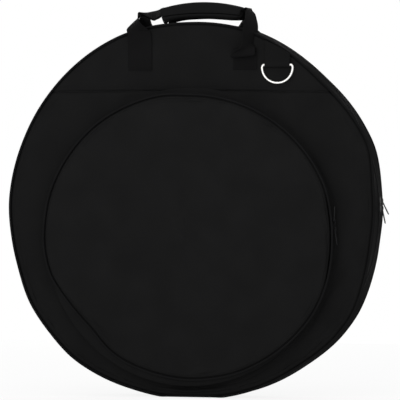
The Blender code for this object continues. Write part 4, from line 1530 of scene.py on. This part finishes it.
    def _wrap_section(self, droop: float, edge: float) -> list[tuple[float, float]]:
        """The corners of the wrap's section."""
        slot, gap, half, top = self.slot, self.gap, self.half, self.crown
        low, arch, lip = self.low * droop, self.gap + 0.0052, self.slot + 0.0015
        hinge = 0.5 * half
        return [
            (-slot, -gap), (slot, -gap), (slot, gap), (hinge, gap), (hinge, 0.93 * top), (0.7 * half, 0.85 * top),
            (0.92 * half, 0.25 * top), (half, -0.25 * low), (0.97 * half, -0.6 * low), (0.83 * half, -0.9 * low),
            (0.65 * half, -low), (0.5 * half, -0.86 * low), (0.35 * half, -arch - (low - arch) / 4),
            (0.22 * half, -arch), (-0.22 * half, -arch), (-0.35 * half, -arch - (low - arch) / 4),
            (-0.5 * half, -0.86 * low), (-0.65 * half, -low), (-0.83 * half, -0.9 * low),
            (-0.96 * half, -(edge + low) / 2), (-0.96 * half, -edge - 0.0006),
            (-lip, -edge - 0.0006), (-lip, -gap), (-(slot + lip) / 2, 0), (-slot, -gap / 2),
        ]

    def _flap_section(self, droop: float, edge: float) -> list[tuple[float, float]]:
        """The corners of the flap's section."""
        gap, half, top = self.gap, self.half, self.crown
        hinge, inner = 0.5 * half - 0.0003, half - 0.0026
        return [
            (hinge, gap), (hinge, 0.93 * top), (0.2 * half, 0.99 * top), (-0.15 * half, top), (-0.5 * half, 0.94 * top),
            (-0.8 * half, 0.74 * top), (-0.94 * half, 0.25 * top), (-half, -edge / 2), (-half, -edge),
            (-inner, -edge), (-inner, 0), (-self.slot, gap), (-0.15 * half, gap), (0.2 * half, gap),
        ]

    def _wrap(self) -> None:
        """The padded wrap."""
        wrap = self._carry("grip_wrap_cloth", self._wrap_section, 0, 12, GRIP_CANVAS, 0.0016)
        dress(wrap, Body.BACK, "grip_cloth", "grip_wrap")

    def _flap(self) -> None:
        """The closing flap, which is sewn to the wrap."""
        flap = self._carry("grip_flap_cloth", self._flap_section, 0, 12, GRIP_CANVAS, 0.0012, 3)
        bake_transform(flap)
        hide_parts("grip_flap")

    def _strips(self) -> None:
        """The hook and loop strips."""
        for layer, name, body, node in (
            (0, "grip_hook_tape", Body.BACK, "grip_hook_strip"),
            (1, "grip_loop_tape", Body.GRIP_FLAP, "grip_loop_strip"),
        ):
            start = self.slot + 0.0015 + 0.0003 + layer * 0.001

            def section(droop: float, edge: float, start: float = start) -> list[tuple[float, float]]:
                """The corners of the strip's section."""
                low, high = -self.flap_edge * droop * 0.85, -self.gap
                return [(-start, low), (-start, high), (-start - 0.0007, high), (-start - 0.0007, low)]

            strip = self._carry(name, section, 2, 10, FUZZ, 0.0002)
            dress(strip, body, "hook_tape", node)

    def stitches(self, lid: Rows, back: Rows) -> None:
        """Add the crossed stitching of the strap ends.

        Args:
            lid: Rows that ride the lid.
            back: Rows that ride the back shell.
        """
        for side, rows in ((Side.FRONT, lid), (Side.BACK, back)):
            y = side.value * (HALF_DEPTH + 0.0013 + self.strap)
            for leg in (-1, 1):
                x0 = self.shift + leg * self.spacing / 2
                left, right, low, high = x0 - 0.0155, x0 + 0.0155, self.seam_z + 0.003, self.seam_z + 0.0165
                corners = [(left, low), (right, low), (right, high), (left, high), (left, low), (right, high)]
                for (ax, az), (bx, bz) in zip(corners, corners[1:]):
                    rows.add(np.linspace((ax, y, az), (bx, y, bz), 20))
                rows.add(np.linspace((right, y, low), (left, y, high), 20))


@dataclass
class RingTab:
    """A D-ring in its folded tab of webbing."""

    side: Side
    body: Body
    across: float = 0.1383
    bar_z: float = 0.5118
    out: float = 0.0352
    wire: float = 0.002
    half_width: float = 0.024
    height: float = 0.0276
    tab: float = 0.0016
    tab_width: float = 0.039
    lean: float = 0.011
    corner: float = 0.0035
    panel_radius: float = 0.2877
    fit: float = 0.0003

    def build(self) -> None:
        """Build the ring and its tab."""
        s = self.side.value
        label = self.side.label
        x0 = -s * self.across
        drop = self.height - self.half_width
        arc = np.linspace(0, math.pi, 40)
        half = self.half_width
        corner = self.corner
        path = [(-half + corner, 0), (0, 0), (half - corner, 0), (half - corner * 0.3, -corner * 0.3)]
        path += [(half * math.cos(a), -drop - half * math.sin(a)) for a in arc]
        path += [(-half + corner * 0.3, -corner * 0.3)]
        line = catmull(np.array(path), 3, closed=True)
        grid = []
        for index in range(len(line)):
            way = line[(index + 1) % len(line)] - line[index - 1]
            way /= np.linalg.norm(way)
            normal = np.array([-way[1], way[0]])
            x, z = x0 + line[index, 0], self.bar_z + line[index, 1]
            grid.append([
                (x + normal[0] * self.wire * math.cos(a), s * self.out + self.wire * math.sin(a),
                 z + normal[1] * self.wire * math.cos(a)) for a in full_turn(14)
            ])
        ring = grid_object(f"{label}_d_ring_wire", np.array(grid), NICKEL, True, True)
        dress(ring, f"{label}_d_ring", "nickel", f"{label}_d_ring")
        self._tab(label, s, x0)

    def _tab(self, label: str, s: int, x0: float) -> None:
        """Build the folded tab round the ring's bar.

        Args:
            label: Which half, in words.
            s: Which half, as a sign.
            x0: Middle of the tab.
        """
        inner, t = self.wire + self.fit, self.tab
        outer, lap = inner + t, t - inner + self.fit
        columns = 25
        grid = []
        for step in range(columns):
            share = step / (columns - 1)
            x = x0 + (share - 0.5) * self.tab_width
            top = math.sqrt(self.panel_radius**2 - x**2) - (self.bar_z - CENTRE_Z)
            low = [(math.cos(a), -math.sin(a)) for a in np.linspace(math.pi, 0, 12)]
            path = [(-outer, top), (-outer, top * 0.5)] + [(outer * c, outer * d) for c, d in low]
            bend, start = self.lean * 0.55, self.wire / 2
            path += [(outer, start), ((outer + lap) / 2 + 0.0002, bend), (lap + 0.0002, self.lean), (lap, top)]
            path += [(lap - t, top), (lap - t, self.lean), ((inner + lap - t) / 2 + 0.0002, bend), (inner, start)]
            path += [(inner * c, inner * d) for c, d in reversed(low)] + [(-inner, top * 0.5), (-inner, top)]
            grid.append([(x, s * (self.out + a), self.bar_z + b) for a, b in path])
        tab = grid_object(f"{label}_ring_tab_webbing", np.array(grid), TAB_WEB, loop_columns=True, caps=True)
        dress(tab, self.body, "webbing", f"{label}_ring_tab")

    def stitches(self, rows: Rows) -> None:
        """Add the stitching under the fold of the tab.

        Args:
            rows: Rows that ride the same body.
        """
        s = self.side.value
        x0 = -s * self.across
        for height in (self.lean + 0.001, self.lean + 0.004):
            y = s * (self.out + self.tab - self.wire + 0.0001)
            z = self.bar_z + height
            rows.add(np.linspace((x0 - 0.0175, y, z), (x0 + 0.0165, y, z), 20))


def direct_rays(tree: bpy.types.NodeTree) -> bpy.types.NodeSocket:
    """A socket that is 1 for the camera's rays and for those that go through or off polished things."""
    seen = add_node(tree, "ShaderNodeLightPath").outputs
    total = seen["Is Camera Ray"]
    for kind in ("Is Glossy Ray", "Is Transmission Ray"):
        total = add_node(tree, "ShaderNodeMath", {0: total, 1: seen[kind]}, operation="MAXIMUM").outputs[0]
    return total


@dataclass
class Studio:
    """Floor, backdrop, lights and camera."""

    azimuth: float = 14.1
    elevation: float = 0.5
    scale: float = 0.6208
    lens: float = 300
    middle_px: tuple[float, float] = (195.4, 210.5)
    floor_size: float = 1.6
    floor_glow: float = 0.86
    soft_light: float = 0.65
    lamps: tuple[tuple[str, tuple[float, float, float], float, float], ...] = (
        ("key", (-0.4, -2.4, 0.8), 2.2, 18), ("low", (0.3, -2.2, 0.35), 1.6, 14), ("top", (0.0, -0.5, 2.2), 1.2, 6),
        ("rear", (-0.8, 2.2, 1.2), 1.8, 12),
    )

    def build(self) -> None:
        """Build the stage and the camera."""
        self._floor()
        self._world()
        self._lamps()
        self._camera()

    def _floor(self) -> None:
        """A pale floor that keeps the bag's shadow."""
        mesh = bpy.data.meshes.new("floor")
        size = self.floor_size
        mesh.from_pydata([(-size, -size, 0), (size, -size, 0), (size, size, 0), (-size, size, 0)], [], [(0, 1, 2, 3)])
        floor = new_object("floor", mesh)
        made, tree, shader = new_material("floor_white")
        feed(tree, shader, {"Base Color": (0.9, 0.9, 0.9, 1), "Roughness": 0.9})
        glow = add_node(tree, "ShaderNodeEmission", {"Strength": 1.0})
        share = add_node(tree, "ShaderNodeMath", {1: self.floor_glow, 0: direct_rays(tree)}, operation="MULTIPLY")
        mix = add_node(tree, "ShaderNodeMixShader", {
            "Fac": share.outputs[0], 1: shader.outputs["BSDF"], 2: glow.outputs["Emission"],
        })
        feed(tree, tree.nodes["Material Output"], {"Surface": mix.outputs["Shader"]})
        mesh.materials.append(made)

    def _world(self) -> None:
        """Plain soft light from all round, and white behind the bag."""
        world = bpy.data.worlds.new("studio")
        bpy.context.scene.world = world
        world.use_nodes = True
        tree = world.node_tree
        soft = tree.nodes["Background"]
        feed(tree, soft, {"Color": (1, 1, 1, 1), "Strength": self.soft_light})
        white = add_node(tree, "ShaderNodeBackground", {"Color": (1, 1, 1, 1), "Strength": 1.0})
        mix = add_node(tree, "ShaderNodeMixShader", {
            "Fac": direct_rays(tree), 1: soft.outputs["Background"], 2: white.outputs["Background"],
        })
        feed(tree, tree.nodes["World Output"], {"Surface": mix.outputs["Shader"]})

    def _lamps(self) -> None:
        """Wide lamps from the front, low down, above and behind, so that no side falls into shade."""
        for name, place, size, power in self.lamps:
            lamp = bpy.data.lights.new(name, "AREA")
            lamp.size = size
            lamp.energy = power
            obj = new_object(name, lamp)
            obj.location = place
            aim = Vector((0, 0, CENTRE_Z)) - Vector(place)
            obj.rotation_mode = "QUATERNION"
            obj.rotation_quaternion = aim.to_track_quat("-Z", "Y")

    def _camera(self) -> None:
        """A long view from slightly to the right, framed as the photograph is."""
        camera = bpy.data.cameras.new("camera")
        camera.lens = self.lens
        camera.sensor_width = 36
        obj = new_object("camera", camera)
        a, e = math.radians(self.azimuth), math.radians(self.elevation)
        back = Vector((math.sin(a) * math.cos(e), -math.cos(a) * math.cos(e), math.sin(e)))
        right = Vector((math.cos(a), math.sin(a), 0))
        pixel = self.scale / 400
        target = Vector((0, 0, CENTRE_Z)) + right * (200 - self.middle_px[0]) * pixel
        target.z += (self.middle_px[1] - 200) * pixel
        obj.location = target + back * self.scale * self.lens / camera.sensor_width
        obj.rotation_mode = "QUATERNION"
        obj.rotation_quaternion = (-back).to_track_quat("-Z", "Y")
        camera.clip_end = 20
        bpy.context.scene.camera = obj
        bpy.context.scene.view_settings.view_transform = "Standard"


def main() -> None:
    """Build the bag's pieces in order."""
    logging.basicConfig(level=logging.INFO, format="%(name)s %(message)s")
    shells = [Shell(Side.BACK, Body.BACK), Shell(Side.FRONT, Body.LID)]
    for shell in shells:
        shell.build()
    main_zip = ZipRing("main", CENTRE_Z, 0.0, RADIUS, 0.0135, True)
    main_zip.build(Side.BACK, Body.BACK)
    main_zip.build(Side.FRONT, Body.LID)
    pocket = Pocket()
    pocket.build()
    pocket_zip = ZipRing("pocket", POCKET_Z, POCKET_Y, POCKET_R, 0.008, False)
    pocket_zip.build(Side.BACK, Body.LID)
    pocket_zip.build(Side.FRONT, Body.FLAP)
    BaseWeb().build()
    handle = Handle()
    handle.build()
    ring_tabs = [RingTab(Side.FRONT, Body.LID), RingTab(Side.BACK, Body.BACK)]
    for tab in ring_tabs:
        tab.build()
    for slider in (
        ZipSlider("main_upper", main_zip, 3.136, 23), ZipSlider("main_lower", main_zip, 0.809, 11),
        ZipSlider("pocket_upper", pocket_zip, 6.821, 171), ZipSlider("pocket_lower", pocket_zip, 3.832, 5),
    ):
        slider.build()
    lid_rows, back_rows, flap_rows = (Rows(name, THREAD) for name in ("lid_stitches", "back_stitches", "flap_stitches"))
    shells[0].stitches(back_rows)
    shells[1].stitches(lid_rows)
    pocket.stitches(flap_rows)
    handle.stitches(lid_rows, back_rows)
    ring_tabs[0].stitches(lid_rows)
    ring_tabs[1].stitches(back_rows)
    for rows, body in ((lid_rows, Body.LID), (back_rows, Body.BACK), (flap_rows, Body.FLAP)):
        dress(rows.build(), body, "canvas")
    Studio().build()


if __name__ == "__main__":
    main()
